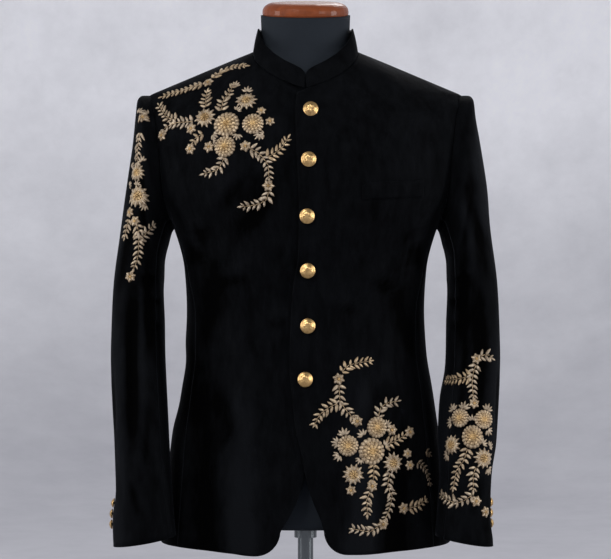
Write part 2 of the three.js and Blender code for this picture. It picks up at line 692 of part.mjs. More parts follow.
// Padded torso and neck of the dress form, one closed body of level rings, with
// the top of the neck sloped down towards the front
const formPositions = [];
for (const { z, half, front, back, square } of FORM_SECTIONS) {
  const slope = z === NECK_TOP ? Math.tan(NECK_TILT) : 0;
  for (let k = 0; k < FORM_SIDES; k += 1) {
    const turn = (2 * Math.PI * k) / FORM_SIDES;
    const depth = Math.cos(turn) > 0 ? front : back;
    const across = (Math.abs(Math.sin(turn)) / half) ** square;
    const along = (Math.abs(Math.cos(turn)) / depth) ** square;
    const radius = (across + along) ** (-1 / square);
    const y = -radius * Math.cos(turn);
    formPositions.push(radius * Math.sin(turn), y, z + slope * (y - NECK_MIDDLE));
  }
}
const formTriangles = [];
const formRings = FORM_SECTIONS.length;
for (let j = 0; j < formRings - 1; j += 1) {
  for (let k = 0; k < FORM_SIDES; k += 1) {
    const next = (k + 1) % FORM_SIDES;
    const [a, b] = [j * FORM_SIDES + k, j * FORM_SIDES + next];
    formTriangles.push(a, b, b + FORM_SIDES, a, b + FORM_SIDES, a + FORM_SIDES);
  }
}
const lowMiddle = formPositions.length / 3;
formPositions.push(0, 0, FORM_SECTIONS[0].z, 0, NECK_MIDDLE, NECK_TOP);
for (let k = 0; k < FORM_SIDES; k += 1) {
  const next = (k + 1) % FORM_SIDES;
  const lastRing = (formRings - 1) * FORM_SIDES;
  formTriangles.push(lowMiddle, next, k, lowMiddle + 1, lastRing + k, lastRing + next);
}
jacket.add(makeMesh('form_torso', formPositions, formTriangles, FORM_CLOTH));

// Turned wooden cap on the neck, with a rounded edge
const capProfile = [[0, 0], [CAP.radius - 1, 0], [CAP.radius, 2], [CAP.radius, CAP.high - CAP.fall]];
for (let k = 1; k <= CAP.steps; k += 1) {
  const angle = (k / CAP.steps) * (Math.PI / 2);
  const inset = CAP.edge * (1 - Math.cos(angle));
  capProfile.push([CAP.radius - inset, CAP.high - CAP.fall * (1 - Math.sin(angle))]);
}
capProfile.push([0, CAP.high]);
const cap = makeTurned('form_cap', capProfile, CAP.sides, VARNISHED_WOOD);
cap.position.set(0, NECK_MIDDLE, NECK_TOP + SEAT);
cap.rotation.x = NECK_TILT;
jacket.add(cap);

// Socket plate under the torso, pole and round base
const flangeTop = FORM_SECTIONS[0].z - SEAT;
const flange = makeTurned('form_flange', [
  [POLE.radius + SEAT, 0],
  [FLANGE.bore, 0],
  [FLANGE.bore, FLANGE.neck - FLANGE.high],
  [FLANGE.radius, FLANGE.neck - FLANGE.high],
  [FLANGE.radius, FLANGE.neck],
  [POLE.radius + SEAT, FLANGE.neck],
  [POLE.radius + SEAT, 0],
], 24, CHROME);
flange.position.z = flangeTop - FLANGE.neck;
jacket.add(flange);

const poleLength = flangeTop - POLE.bottom;
const pole = new THREE.Mesh(
  new THREE.CylinderGeometry(POLE.radius, POLE.radius, poleLength, 24),
  new THREE.MeshStandardMaterial(CHROME),
);
pole.name = 'stand_pole';
pole.rotation.x = Math.PI / 2;
pole.position.z = POLE.bottom + poleLength / 2;
jacket.add(pole);

const base = makeTurned('stand_base', [
  [0, 0],
  [BASE.radius - 2, 0],
  [BASE.radius, 2],
  [BASE.radius, BASE.rim - 2],
  [BASE.radius - 3, BASE.rim],
  [BASE.socket + 22, BASE.rim + 5],
  [BASE.socket, BASE.high - 8],
  [BASE.socket - 1.5, POLE.bottom - SEAT],
  [0, POLE.bottom - SEAT],
], 36, POWDER_COAT);
jacket.add(base);

export default jacket;
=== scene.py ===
import math

import bpy
import numpy as np
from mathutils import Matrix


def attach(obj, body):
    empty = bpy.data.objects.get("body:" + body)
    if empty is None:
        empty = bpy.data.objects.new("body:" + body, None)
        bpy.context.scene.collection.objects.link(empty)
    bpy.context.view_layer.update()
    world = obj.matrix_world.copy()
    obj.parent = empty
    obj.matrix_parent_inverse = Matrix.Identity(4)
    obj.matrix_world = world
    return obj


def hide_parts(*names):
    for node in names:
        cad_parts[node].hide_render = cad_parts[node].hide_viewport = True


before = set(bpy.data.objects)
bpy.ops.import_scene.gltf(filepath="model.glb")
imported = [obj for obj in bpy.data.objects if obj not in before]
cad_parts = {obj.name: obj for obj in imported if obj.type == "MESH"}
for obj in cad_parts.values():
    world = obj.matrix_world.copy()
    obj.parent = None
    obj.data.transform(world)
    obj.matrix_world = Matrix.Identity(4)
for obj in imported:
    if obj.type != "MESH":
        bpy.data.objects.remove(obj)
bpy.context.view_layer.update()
MM = 0.001

# Camera: level with the jacket's middle and 2.6 m in front of it, with a
# portrait lens. A pixel of the picture, which is 611 of them wide, spans
# 1.42 mm at the pole.
CAMERA_AWAY = 2.6
CAMERA_HIGH = 0.607
PIXEL = 1.42 * MM
PICTURE_WIDE = 611
FILM_WIDE = 36.0
camera_data = bpy.data.cameras.new("camera")
camera_data.sensor_width = FILM_WIDE
camera_data.lens = FILM_WIDE * CAMERA_AWAY / (PIXEL * PICTURE_WIDE)
camera_data.clip_end = 30
camera = bpy.data.objects.new("camera", camera_data)
bpy.context.scene.collection.objects.link(camera)
bpy.context.scene.camera = camera
camera.location = (0, -CAMERA_AWAY, CAMERA_HIGH)
camera.rotation_euler = (math.radians(90), 0, 0)


# Studio: a pale grey floor that curves up into a round plastered wall, lit by
# a soft light from the upper left, a weaker one from the right, two narrow
# ones that skim the velvet from the sides and one behind the shoulders.
class Shade:
    """One output of a material's nodes, written with + - * in formulas."""

    def __init__(self, tree, socket):
        self.tree = tree
        self.socket = socket

    def node(self, kind, settings=None, **sockets):
        return add_node(self.tree, kind, settings, **sockets)

    def _math(self, operation, first, second):
        return self.node("ShaderNodeMath", {"operation": operation}, in0=first, in1=second)

    def __add__(self, other):
        return self._math("ADD", self, other)

    def __radd__(self, other):
        return self._math("ADD", other, self)

    def __sub__(self, other):
        return self._math("SUBTRACT", self, other)

    def __rsub__(self, other):
        return self._math("SUBTRACT", other, self)

    def __mul__(self, other):
        return self._math("MULTIPLY", self, other)

    def __rmul__(self, other):
        return self._math("MULTIPLY", other, self)


def add_node(tree, kind, settings=None, out=0, **sockets):
    """A node with its settings made first, then its sockets; in0 is its first socket."""
    node = tree.nodes.new(kind)
    for name, value in (settings or {}).items():
        setattr(node, name, value)
    for name, value in sockets.items():
        place = int(name[2:]) if name[:2] == "in" and name[2:].isdigit() else name.replace("_", " ")
        socket = node.inputs[place]
        if isinstance(value, Shade):
            tree.links.new(value.socket, socket)
        else:
            socket.default_value = value
    return Shade(tree, node.outputs[out])


def new_material(name, **values):
    """A material with its plain values set, and a Shade to start formulas from."""
    material = bpy.data.materials.new(name)
    material.use_nodes = True
    tree = material.node_tree
    surface = tree.nodes["Principled BSDF"]
    for key, value in values.items():
        surface.inputs[key.replace("_", " ")].default_value = value
    place = add_node(tree, "ShaderNodeTexCoord", out=3)
    return material, surface, place


def plug(surface, **links):
    for name, value in links.items():
        surface.id_data.links.new(value.socket, surface.inputs[name.replace("_", " ")])


def noise(place, scale, detail, rough, stretch=(1, 1, 1)):
    """Noise of the object's own metres, stretched along the axes."""
    sized = place.node("ShaderNodeMapping", Vector=place, Scale=stretch)
    return sized.node("ShaderNodeTexNoise", Vector=sized, Scale=scale, Detail=detail, Roughness=rough)


def blend_colour(share, low, high):
    """A colour between two, by a share from 0 to 1."""
    colours = {"in6": (*low, 1) if isinstance(low, tuple) else low,
               "in7": (*high, 1) if isinstance(high, tuple) else high}
    return share.node("ShaderNodeMix", {"data_type": "RGBA"}, out=2, in0=share, **colours)


def bump(height, strength, distance):
    return height.node("ShaderNodeBump", Height=height, Strength=strength, Distance=distance)


def ring_faces(rows, around, start=0):
    """Faces between closed rings of points, one ring after another."""
    faces = []
    for low in range(start, start + (rows - 1) * around, around):
        for i in range(around):
            n = (i + 1) % around
            faces.append((low + i, low + n, low + around + n, low + around + i))
    return faces


def make_studio():
    away, cove, high, around = 4.6, 2.4, 3.4, 72
    inner_ring, cove_steps, glow, painted_falloff = 1.4, 14, 0.36, 0.78
    profile = [(inner_ring, 0.0)]
    for k in range(cove_steps + 1):
        tilt = math.radians(90 * k / cove_steps)
        profile.append((away - cove + cove * math.sin(tilt), cove - cove * math.cos(tilt)))
    profile.append((away, high))
    points = [(0.0, 0.0, 0.0)]
    for reach, rise in profile:
        for k in range(around):
            turn = 2 * math.pi * k / around
            points.append((reach * math.sin(turn), reach * math.cos(turn), rise))
    faces = [(0, 1 + (k + 1) % around, 1 + k) for k in range(around)]
    faces += ring_faces(len(profile), around, 1)
    mesh = bpy.data.meshes.new("studio")
    mesh.from_pydata(points, [], faces)
    mesh.shade_smooth()
    studio = bpy.data.objects.new("studio", mesh)
    bpy.context.scene.collection.objects.link(studio)
    material, surface, place = new_material("pale_plaster", Roughness=0.85, Emission_Strength=glow)
    mottle = noise(place, 1.6, 8.0, 0.68) * 0.65 + noise(place, 6.0, 6.0, 0.7, (1, 1, 0.5)) * 0.35
    # The plaster is painted darker towards the floor and lighter up the wall, as painted light falloff, and
    # glows faintly in that colour as painted light.
    low = blend_colour(mottle * 2.4 - 0.7, (0.26, 0.26, 0.29), (0.36, 0.36, 0.39))
    top = blend_colour(mottle * 2.4 - 0.7, (0.58, 0.58, 0.615), (0.78, 0.78, 0.82))
    rise = place.node("ShaderNodeSeparateXYZ", out=2, Vector=place)
    plaster = blend_colour(rise * painted_falloff, low, top)
    plug(surface, Base_Color=plaster, Emission_Color=plaster)
    mesh.materials.append(material)


def add_light(name, place, target, size, power):
    data = bpy.data.lights.new(name, "AREA")
    data.shape = "RECTANGLE"
    data.size, data.size_y = size
    data.energy = power
    light = bpy.data.objects.new(name, data)
    light.location = place
    aim = np.array(target, float) - np.array(place, float)
    flat = math.hypot(aim[0], aim[1])
    light.rotation_euler = (math.atan2(flat, -aim[2]), 0, math.atan2(aim[1], aim[0]) - math.pi / 2)
    bpy.context.scene.collection.objects.link(light)


make_studio()
add_light("key", (-1.25, -1.95, 2.35), (0, 0, 0.75), (1.0, 0.9), 39)
add_light("fill", (2.0, -2.2, 1.8), (0, 0, 0.8), (0.8, 1.3), 13)
add_light("skim_left", (-1.8, -0.35, 0.8), (0, 0, 0.6), (0.4, 1.4), 11)
add_light("skim_right", (1.8, -0.45, 0.8), (0, 0, 0.6), (0.4, 1.4), 16)
add_light("back_top", (0.4, 2.0, 2.6), (0, 0, 0.6), (1.2, 0.8), 26)
world = bpy.data.worlds.new("studio_air")
bpy.context.scene.world = world
world.use_nodes = True
air = world.node_tree.nodes["Background"]
air.inputs["Color"].default_value = (0.86, 0.88, 0.92, 1)
air.inputs["Strength"].default_value = 0.34
bpy.context.scene.view_settings.view_transform = "Standard"


# Body of the jacket: fronts, side bodies and backs of black cotton velvet,
# cut to a suppressed waist and seamed edge to edge. Sizes are millimetres,
# and the sections, seams and edges are those of the frame's own solids.
def table(columns, rows):
    """Named columns of numbers from rows of them."""
    return {name: np.array([row[k] for row in rows], float) for k, name in enumerate(columns.split())}


def follow(rows, key, at, by="z"):
    """Smooth values between a table's rows, with no overshoot."""
    x, y = rows[by], rows[key]
    slope = np.diff(y) / np.diff(x)
    tangent = np.concatenate([slope[:1], np.zeros(len(x) - 2), slope[-1:]])
    both = slope[:-1] * slope[1:]
    turns = both > 0
    tangent[1:-1][turns] = 2 * both[turns] / (slope[:-1] + slope[1:])[turns]
    at = np.clip(np.asarray(at, float), x[0], x[-1])
    k = np.clip(np.searchsorted(x, at, side="right") - 1, 0, len(x) - 2)
    span = x[k + 1] - x[k]
    t = (at - x[k]) / span
    start = (1 + 2 * t) * (1 - t) ** 2 * y[k] + t * (1 - t) ** 2 * span * tangent[k]
    return start + t * t * (3 - 2 * t) * y[k + 1] - t * t * (1 - t) * span * tangent[k + 1]


def mix(a, b, t):
    return a + (b - a) * t


def ease(start, end, at):
    t = np.clip((np.asarray(at, float) - start) / (end - start), 0, 1)
    return t * t * (3 - 2 * t)


TIP_X, TIP_Z = 222.0, 868.0
NECK_X, NECK_Z = 74.0, 930.0
RIDGE_SLOPE = (TIP_X - NECK_X) / (NECK_Z - TIP_Z)
WALL = 2.0

sections = table("z half front back square", [
    (225, 206, 131, 127, 2.45),
    (300, 198, 128, 125, 2.45),
    (379, 190, 124, 121, 2.45),
    (450, 180, 120, 114, 2.45),
    (507, 171, 117, 106, 2.4),
    (564, 168, 118, 100, 2.4),
    (620, 171, 127, 104, 2.4),
    (679, 186, 137, 113, 2.4),
    (720, 208, 140, 119, 2.4),
    (770, 222, 137, 124, 2.3),
    (820, 232, 125, 124, 2.1),
    (845, 233, 113, 116, 1.95),
    (868, 222, 98, 102, 1.75),
    (890, 170, 92, 90, 1.7),
    (910, 122, 82, 78, 1.7),
    (930, 74, 66, 62, 1.95),
])

# Long folds of the body, as in the frame: troughs above 0, swells below 0
body_folds = [
    dict(turn=33, lean=4, low=225, high=520, width=7, depth=-3.0),
    dict(turn=50, lean=6, low=225, high=480, width=6, depth=2.6),
    dict(turn=-36, lean=-5, low=225, high=500, width=7, depth=-2.8),
    dict(turn=-54, lean=-6, low=225, high=470, width=6, depth=2.6),
    dict(turn=58, lean=-16, low=480, high=640, width=6, depth=2.2),
    dict(turn=-56, lean=14, low=500, high=660, width=6, depth=2.4),
    dict(turn=-30, lean=18, low=640, high=760, width=6, depth=1.8),
    dict(turn=132, lean=5, low=225, high=540, width=7, depth=3.0),
    dict(turn=152, lean=3, low=225, high=500, width=8, depth=-3.0),
    dict(turn=-138, lean=-5, low=225, high=520, width=7, depth=3.2),
    dict(turn=-157, lean=-3, low=225, high=480, width=7, depth=-2.6),
]

# Short creases, listed: place, tilt from level, length, width and depth.
# The very wide one lets the right hip in.
body_creases = [
    dict(turn=62, z=655, tilt=-38, long=70, wide=9, deep=1.7),
    dict(turn=70, z=628, tilt=-22, long=56, wide=7, deep=1.5),
    dict(turn=48, z=596, tilt=-16, long=64, wide=8, deep=1.3),
    dict(turn=-60, z=660, tilt=40, long=74, wide=9, deep=1.9),
    dict(turn=-68, z=634, tilt=26, long=60, wide=7, deep=1.4),
    dict(turn=-44, z=604, tilt=14, long=60, wide=8, deep=1.4),
    dict(turn=-24, z=700, tilt=52, long=80, wide=10, deep=1.4),
    dict(turn=-38, z=722, tilt=60, long=70, wide=9, deep=1.6),
    dict(turn=26, z=566, tilt=-6, long=46, wide=8, deep=1.1),
    dict(turn=-18, z=548, tilt=8, long=44, wide=8, deep=1.0),
    dict(turn=40, z=430, tilt=70, long=90, wide=11, deep=1.5),
    dict(turn=-46, z=420, tilt=-74, long=96, wide=12, deep=1.7),
    dict(turn=62, z=812, tilt=72, long=60, wide=9, deep=1.8),
    dict(turn=-63, z=806, tilt=-70, long=64, wide=9, deep=1.9),
    dict(turn=118, z=800, tilt=68, long=80, wide=10, deep=2.0),
    dict(turn=-120, z=792, tilt=-66, long=76, wide=10, deep=1.8),
    dict(turn=150, z=560, tilt=10, long=90, wide=9, deep=1.6),
    dict(turn=-148, z=572, tilt=-12, long=84, wide=9, deep=1.7),
    dict(turn=164, z=590, tilt=6, long=60, wide=8, deep=1.2),
    dict(turn=128, z=640, tilt=-30, long=80, wide=9, deep=1.5),
    dict(turn=-126, z=648, tilt=34, long=76, wide=9, deep=1.6),
    dict(turn=158, z=820, tilt=4, long=90, wide=12, deep=1.4),
    dict(turn=-88, z=458, tilt=90, long=120, wide=60, deep=4.5),
    dict(turn=-160, z=836, tilt=-3, long=84, wide=12, deep=1.3),
]


def body_half(z):
    return np.where(z > TIP_Z, TIP_X - (z - TIP_Z) * RIDGE_SLOPE, follow(sections, "half", z))


def long_folds(folds, across, along, key, wraps):
    """Depth of folds that run down the cloth; those from the hem are open there."""
    depth = np.zeros(np.broadcast(across, along).shape)
    for fold in folds:
        share = np.clip((along - fold["low"]) / (fold["high"] - fold["low"]), 0, 1)
        off = across - fold[key] - fold["lean"] * (share - 0.5)
        if wraps:
            off = (off + 540) % 360 - 180
        starts_at_hem = fold["low"] <= sections["z"][0] and not wraps
        open_share = np.cos(np.pi / 2 * share) if starts_at_hem else np.sin(np.pi * share)
        depth += fold["depth"] * np.clip(open_share, 0, 1) ** 1.2 * np.exp(-((off / fold["width"]) ** 2))
    return depth


RIDGE_SHARE, NO_RIDGE_FROM = 0.45, 20


def crease_depth(creases, across, along):
    """Depth of short creases; across and along are functions of a crease, in mm."""
    depth = 0.0
    for crease in creases:
        u, v = across(crease), along(crease)
        tilt = math.radians(crease["tilt"])
        run = (u * math.cos(tilt) + v * math.sin(tilt)) / (crease["long"] / 2)
        off = (v * math.cos(tilt) - u * math.sin(tilt)) / crease["wide"]
        ridge = RIDGE_SHARE if crease["wide"] < NO_RIDGE_FROM else 0.0
        trough = np.exp(-(off**2)) - ridge * np.exp(-((off - 1.7) ** 2))
        depth = depth + crease["deep"] * trough * np.exp(-((run * 1.25) ** 4))
    return depth


BODY_GIRTH = 155.0


def body_fold_depth(turn, z):
    return long_folds(body_folds, turn, z, "turn", False)


def body_depth(turn, z):
    """How far the body's folds and creases sink; ridges are below 0."""
    return body_fold_depth(turn, z) + crease_depth(
        body_creases, lambda c: np.radians(turn - c["turn"]) * BODY_GIRTH, lambda c: z - c["z"])


def body_point(turn, z, creased=True):
    """Points of the jacket's outside, at turns in degrees from the centre front."""
    turn, z = np.broadcast_arrays(np.asarray(turn, float), np.asarray(z, float))
    sine, cosine = np.sin(np.radians(turn)), np.cos(np.radians(turn))
    depth = np.where(cosine > 0, follow(sections, "front", z), follow(sections, "back", z))
    square = follow(sections, "square", z)
    across, ahead = np.abs(sine) / body_half(z), np.abs(cosine) / depth
    radius = (across**square + ahead**square) ** (-1 / square)
    radius = radius - (body_depth(turn, z) if creased else body_fold_depth(turn, z))
    return np.stack([radius * sine, -radius * cosine, z], axis=-1)


def normals(surface, u, v, du, dv):
    """Outward directions of a surface, from its points a little to each side."""
    along_u = surface(u + du, v) - surface(u - du, v)
    along_v = surface(u, v + dv) - surface(u, v - dv)
    out = np.cross(along_u, along_v)
    return out / np.linalg.norm(out, axis=-1, keepdims=True)


def body_normal(turn, z):
    return normals(body_point, np.asarray(turn, float), np.asarray(z, float), 0.4, 0.8)


def turn_at(x, z):
    """Turn of the point on the front half at x and z."""
    square, depth = follow(sections, "square", z), follow(sections, "front", z)
    share = np.clip(np.abs(x) / body_half(z), 0, 1)
    return np.degrees(np.arctan2(x, depth * (1 - share**square) ** (1 / square)))


ARM_MIDDLE, ARM_HALF, ARM_DEEP = 773.5, 94.5, 68.0
front_stations = [0, 10, 24, 40, 57, 75, 93, 112, 131, 150]
under_stations = [150, 166, 182, 199, 215]
back_stations = [215, 229, 248, 267, 285, 303, 320, 336, 350, 360]


def armhole(angle):
    """Turn and height of the armhole at angles from the shoulder tip, through the front."""
    angle = np.radians(np.asarray(angle, float))
    z = ARM_MIDDLE + ARM_HALF * np.cos(angle)
    y = -ARM_DEEP * np.sin(angle)
    depth = np.where(y < 0, follow(sections, "front", z), follow(sections, "back", z))
    square = follow(sections, "square", z)
    x = body_half(z) * (1 - (np.abs(y) / depth) ** square) ** (1 / square)
    return np.stack([np.degrees(np.arctan2(x, -y)), z], axis=-1)


hem = table("turn z", [(0, 235), (30, 235), (66, 239), (112, 238), (180, 236)])
side_seams = table("z front back", [(225, 66, 114), (400, 67, 115), (564, 69, 113), (700, 80, 101.5)])
neckline = table("x z", [
    (0, 868), (16, 873.5), (32, 880), (48, 889), (62, 900.5), (70, 911.5), (73, 920), (74, 930)])
front_edges = table("z over under", [
    (267, 25, 34),
    (283, 20, 23.5),
    (304, 11, 13),
    (336, 1, 2),
    (369, -5, -3),
    (408, -14, -8),
    (444, -18, -12),
    (488, -22, -15),
    (534, -21, -16),
    (597, -17, -16),
    (643, -10, -16),
    (705, -9, -15),
    (770, -11.5, -15),
    (838, -14, -14),
    (863, -12, -12),
])
EDGE_TOP, ROUND_Z = 863.0, 267.0
SEAM_ROWS, ARM_ROWS, SHOULDER_ROWS, BACK_NECK_ROWS = 14, 9, 5, 4
FINE = 4


def finer(values, times=FINE):
    """The values of a list, with the spaces between them divided."""
    values = np.asarray(values, float)
    steps = np.arange((len(values) - 1) * times + 1) / times
    return np.interp(steps, np.arange(len(values)), values)


def seam_line(key, top):
    """Turns and heights of a side seam, from the hem to the armhole."""
    rows = SEAM_ROWS * FINE
    j = np.arange(rows + 1) / FINE
    z = mix(follow(hem, "z", side_seams[key][0], "turn"), top[1], j / SEAM_ROWS)
    turn = mix(follow(side_seams, key, z), top[0], ease(SEAM_ROWS - 4, SEAM_ROWS, j))
    return np.stack([turn, z], axis=-1)


front_seam = seam_line("front", armhole(150))
back_seam = seam_line("back", armhole(215))
front_arm = armhole(finer(front_stations))[::-1]
back_arm = armhole(finer(back_stations))
shoulder_heights = np.linspace(NECK_Z, TIP_Z, SHOULDER_ROWS * FINE + 1)
shoulder_seam = np.stack([np.full(len(shoulder_heights), 90.0), shoulder_heights], axis=-1)


def fill_panel(bottom, top, left, right):
    """Turns and heights of a panel, filled in between its four edges."""
    u = np.linspace(0, 1, len(bottom))[None, :, None]
    v = np.linspace(0, 1, len(left))[:, None, None]
    edges = mix(bottom[None], top[None], v) + mix(left[:, None], right[:, None], u)
    corners = mix(mix(bottom[0], bottom[-1], u), mix(top[0], top[-1], u), v)
    return edges - corners


def from_edge(points, side):
    """Distance of each grid point from one side of the grid, along its lines."""
    axis = 1 if side in ("left", "right") else 0
    steps = np.linalg.norm(np.diff(points, axis=axis), axis=-1)
    run = np.concatenate([np.zeros_like(steps.take([0], axis)), np.cumsum(steps, axis=axis)], axis=axis)
    if side in ("right", "top"):
        run = run.take([-1], axis) - run
    return run


def pull_edge(points, side, gap):
    """Moves a grid's edge a gap towards the next line of points."""
    every = slice(None)
    edge, inside = {"left": ((every, 0), (every, 1)), "right": ((every, -1), (every, -2)),
                    "bottom": ((0,), (1,)), "top": ((-1,), (-2,))}[side]
    step = points[inside] - points[edge]
    points[edge] += step * (gap / np.linalg.norm(step, axis=-1, keepdims=True))


def to_object(name, points, faces, material):
    """A piece from points in millimetres."""
    mesh = bpy.data.meshes.new(name)
    mesh.from_pydata((np.asarray(points) * MM).tolist(), [], faces)
    mesh.shade_smooth()
    mesh.materials.append(material)
    piece = bpy.data.objects.new(name, mesh)
    bpy.context.scene.collection.objects.link(piece)
    return piece


def set_attribute(piece, name, values):
    """A number for each point of a piece, which its material reads."""
    layer = piece.data.attributes.new(name, "FLOAT", "POINT")
    layer.data.foreach_set("value", values.astype(np.float32))


def grid_faces(rows, columns, start=0, flip=False):
    """Faces of an open grid of points."""
    j, i = np.meshgrid(np.arange(rows - 1), np.arange(columns - 1), indexing="ij")
    a = start + j * columns + i
    quads = np.stack([a, a + 1, a + columns + 1, a + columns], axis=-1).reshape(-1, 4)
    return (quads[:, ::-1] if flip else quads).tolist()


FOLD_FULL = 2.4


def make_cloth(name, outer, inner, round_by, flip=False, relief=None, lining=None):
    """A closed shell of velvet from its outer and inner grids, with a rounded rim."""
    rows, columns = outer.shape[:2]
    count = rows * columns
    rim = [(0, i) for i in range(columns - 1)] + [(j, columns - 1) for j in range(rows - 1)]
    rim += [(rows - 1, i) for i in range(columns - 1, 0, -1)] + [(j, 0) for j in range(rows - 1, 0, -1)]
    near = [(min(max(j, 1), rows - 2), min(max(i, 1), columns - 2)) for j, i in rim]
    at, inside = tuple(np.array(rim).T), tuple(np.array(near).T)
    away = outer[at] - outer[inside]
    away /= np.linalg.norm(away, axis=-1, keepdims=True)
    middle = (outer[at] + inner[at]) / 2 + away * round_by
    points = np.concatenate([outer.reshape(-1, 3), inner.reshape(-1, 3), middle])
    shown, hidden = grid_faces(rows, columns, 0, flip), grid_faces(rows, columns, count, not flip)
    faces = shown + hidden
    index = np.array([j * columns + i for j, i in rim])
    for k in range(len(rim)):
        n = (k + 1) % len(rim)
        a, b, m, o = int(index[k]), int(index[n]), 2 * count + k, 2 * count + n
        upper, lower = (b, a, m, o), (o, m, count + a, count + b)
        faces += [upper[::-1], lower[::-1]] if flip else [upper, lower]
    cloth = to_object(name, points, faces, velvet)
    if relief is None:
        relief = np.zeros((rows, columns))
    # The folds' depth goes on the points, for the velvet's painted shade in the troughs and painted
    # highlight on the ridges.
    depth = np.concatenate([relief.ravel(), relief.ravel(), relief[at]])
    set_attribute(cloth, "fold", np.clip(depth / FOLD_FULL, -1, 1))
    if lining is not None:
        cloth.data.materials.append(lining)
        slots = np.zeros(len(faces), dtype=np.int32)
        slots[len(shown):len(shown) + len(hidden)] = 1
        cloth.data.polygons.foreach_set("material_index", slots)
    return cloth


def read_attribute(place, name):
    return place.node("ShaderNodeAttribute", {"attribute_name": name}, out=2)


def make_velvet():
    """Cotton velvet: near black and lighter where it is brushed, with painted shade in the troughs of its
    folds and a painted highlight on their ridges.
    """
    material, surface, place = new_material(
        "black_velvet", Specular_IOR_Level=0.02, Sheen_Weight=0.05, Sheen_Roughness=0.25,
        Sheen_Tint=(0.46, 0.50, 0.60, 1))
    cloud = noise(place, 16.0, 5.0, 0.62, (1, 1, 0.7))
    brushed = noise(place, 75.0, 4.0, 0.65, (1, 1, 0.35))
    pile = noise(place, 1500.0, 2.0, 0.6)
    # Painted shade darkens the troughs of the folds and a painted highlight lightens their ridges, through
    # the fold attribute.
    nap_and_fold_shade = (cloud * 0.45 + brushed * 0.55) * 1.8 - 0.48 - read_attribute(place, "fold") * 0.7
    shown = nap_and_fold_shade * (0.6 + pile * 0.8)
    plug(surface, Base_Color=blend_colour(shown, (0.0002, 0.0002, 0.0003), (0.0046, 0.0052, 0.0064)))
    plug(surface, Roughness=0.86 - nap_and_fold_shade * 0.12)
    plug(surface, Normal=bump(pile * 0.3 + brushed * 0.7, 0.6, 0.0014))
    return material


def make_lining():
    """Black satin, as it shows at the cuffs and the open skirt."""
    material, surface, place = new_material("satin_lining", Specular_IOR_Level=0.35)
    ripple = noise(place, 30.0, 3.0, 0.6, (1, 1, 0.3))
    weave = noise(place, 1900.0, 2.0, 0.5, (1, 1, 0.2))
    plug(surface, Base_Color=blend_colour(ripple, (0.0015, 0.0015, 0.0020), (0.0080, 0.0080, 0.0100)))
    plug(surface, Roughness=0.34 + weave * 0.16)
    plug(surface, Normal=bump(ripple * 0.7 + weave * 0.3, 0.3, 0.0006))
    return material


velvet, satin = make_velvet(), make_lining()
SEAM_DIP, SEAM_WIDE, SEAM_GAP = 0.5, 2.8, 0.2
EDGE_ROUND = 0.1


def make_panel(name, nodes, side, seams, recess=None):
    """A panel of the body, seamed at the edges named, with its side 1 for left."""
    turn, z = nodes[..., 0] * side, nodes[..., 1]
    outer = body_point(turn, z)
    out = body_normal(turn, z)
    if recess is not None:
        outer = outer - out * recess(side * outer[..., 0], z)[..., None]
    inner = outer - out * WALL
    for edge in seams:
        distance = from_edge(outer, edge)
        dip = SEAM_DIP * np.exp(-((distance / SEAM_WIDE) ** 2))
        outer = outer - out * dip[..., None]
    for edge in seams:
        pull_edge(outer, edge, SEAM_GAP)
        pull_edge(inner, edge, SEAM_GAP)
    depth = body_depth(turn, z)
    piece = make_cloth(f"cloth_{name}", outer, inner, EDGE_ROUND, side < 0, depth, satin)
    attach(piece, "root")
    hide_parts(name)


def edge_at(z, key, corner_round):
    """How far across a front's edge lies, with its corner rounded at the hem."""
    z = np.asarray(z, float)
    bottom = front_edges[key][0]
    drop = np.clip(corner_round**2 - (ROUND_Z - z) ** 2, 0, None)
    return np.where(z >= ROUND_Z, follow(front_edges, key, z), bottom + corner_round - np.sqrt(drop))


def front_nodes(key, corner_round):
    """Turns and heights of a front, from its edge to the side seam and armhole."""
    rows = (SEAM_ROWS + ARM_ROWS) * FINE
    start = ROUND_Z - corner_round * math.sqrt(0.5)
    z = mix(start, EDGE_TOP, np.linspace(0, 1, rows + 1) ** 1.15)
    left = np.stack([turn_at(edge_at(z, key, corner_round), z), z], axis=-1)
    right = np.concatenate([front_seam[:-1], front_arm])
    neck_x = finer(neckline["x"])
    neck_z = np.interp(neck_x, neckline["x"], neckline["z"])
    neck = np.stack([turn_at(neck_x, neck_z), neck_z], axis=-1)
    lap = mix(left[-1], neck[0], np.arange(FINE)[:, None] / FINE)
    top = np.concatenate([lap, neck, shoulder_seam[1:]])
    count = len(top)
    corner_x = front_edges[key][0] + corner_round
    turned = 3 * FINE
    angle = np.radians(45 + 45 * np.arange(turned) / turned)
    round_z = ROUND_Z - corner_round * np.sin(angle)
    corner = np.stack([turn_at(corner_x - corner_round * np.cos(angle), round_z), round_z], axis=-1)
    share = np.arange(count - turned) / (count - 1 - turned)
    turn = mix(turn_at(corner_x, ROUND_Z - corner_round), front_seam[0, 0], share)
    level = mix(ROUND_Z - corner_round, follow(hem, "z", turn, "turn"), ease(0, 0.3, share))
    bottom = np.concatenate([corner, np.stack([turn, level], axis=-1)])
    return fill_panel(bottom, top, left, right)


LAP_RECESS, LAP_BLEND = 3.8, 22.0


def under_lap(x, z):
    """How far the right front sinks where the left one laps over it."""
    line = -follow(front_edges, "over", z)
    return LAP_RECESS * (1 - ease(line + 2, line + LAP_BLEND, x))


make_panel("front_left", front_nodes("over", 32.0), 1, ["top", "right"])
make_panel("front_right", front_nodes("under", 34.0), -1, ["top", "right"], under_lap)

arm_bottom = armhole(finer(under_stations))
side_turns = np.linspace(front_seam[0, 0], back_seam[0, 0], len(arm_bottom))
side_hem = np.stack([side_turns, follow(hem, "z", side_turns, "turn")], axis=-1)
for name, side in (("side_left", 1), ("side_right", -1)):
    nodes = fill_panel(side_hem, arm_bottom, front_seam, back_seam)
    make_panel(name, nodes, side, ["left", "right"])

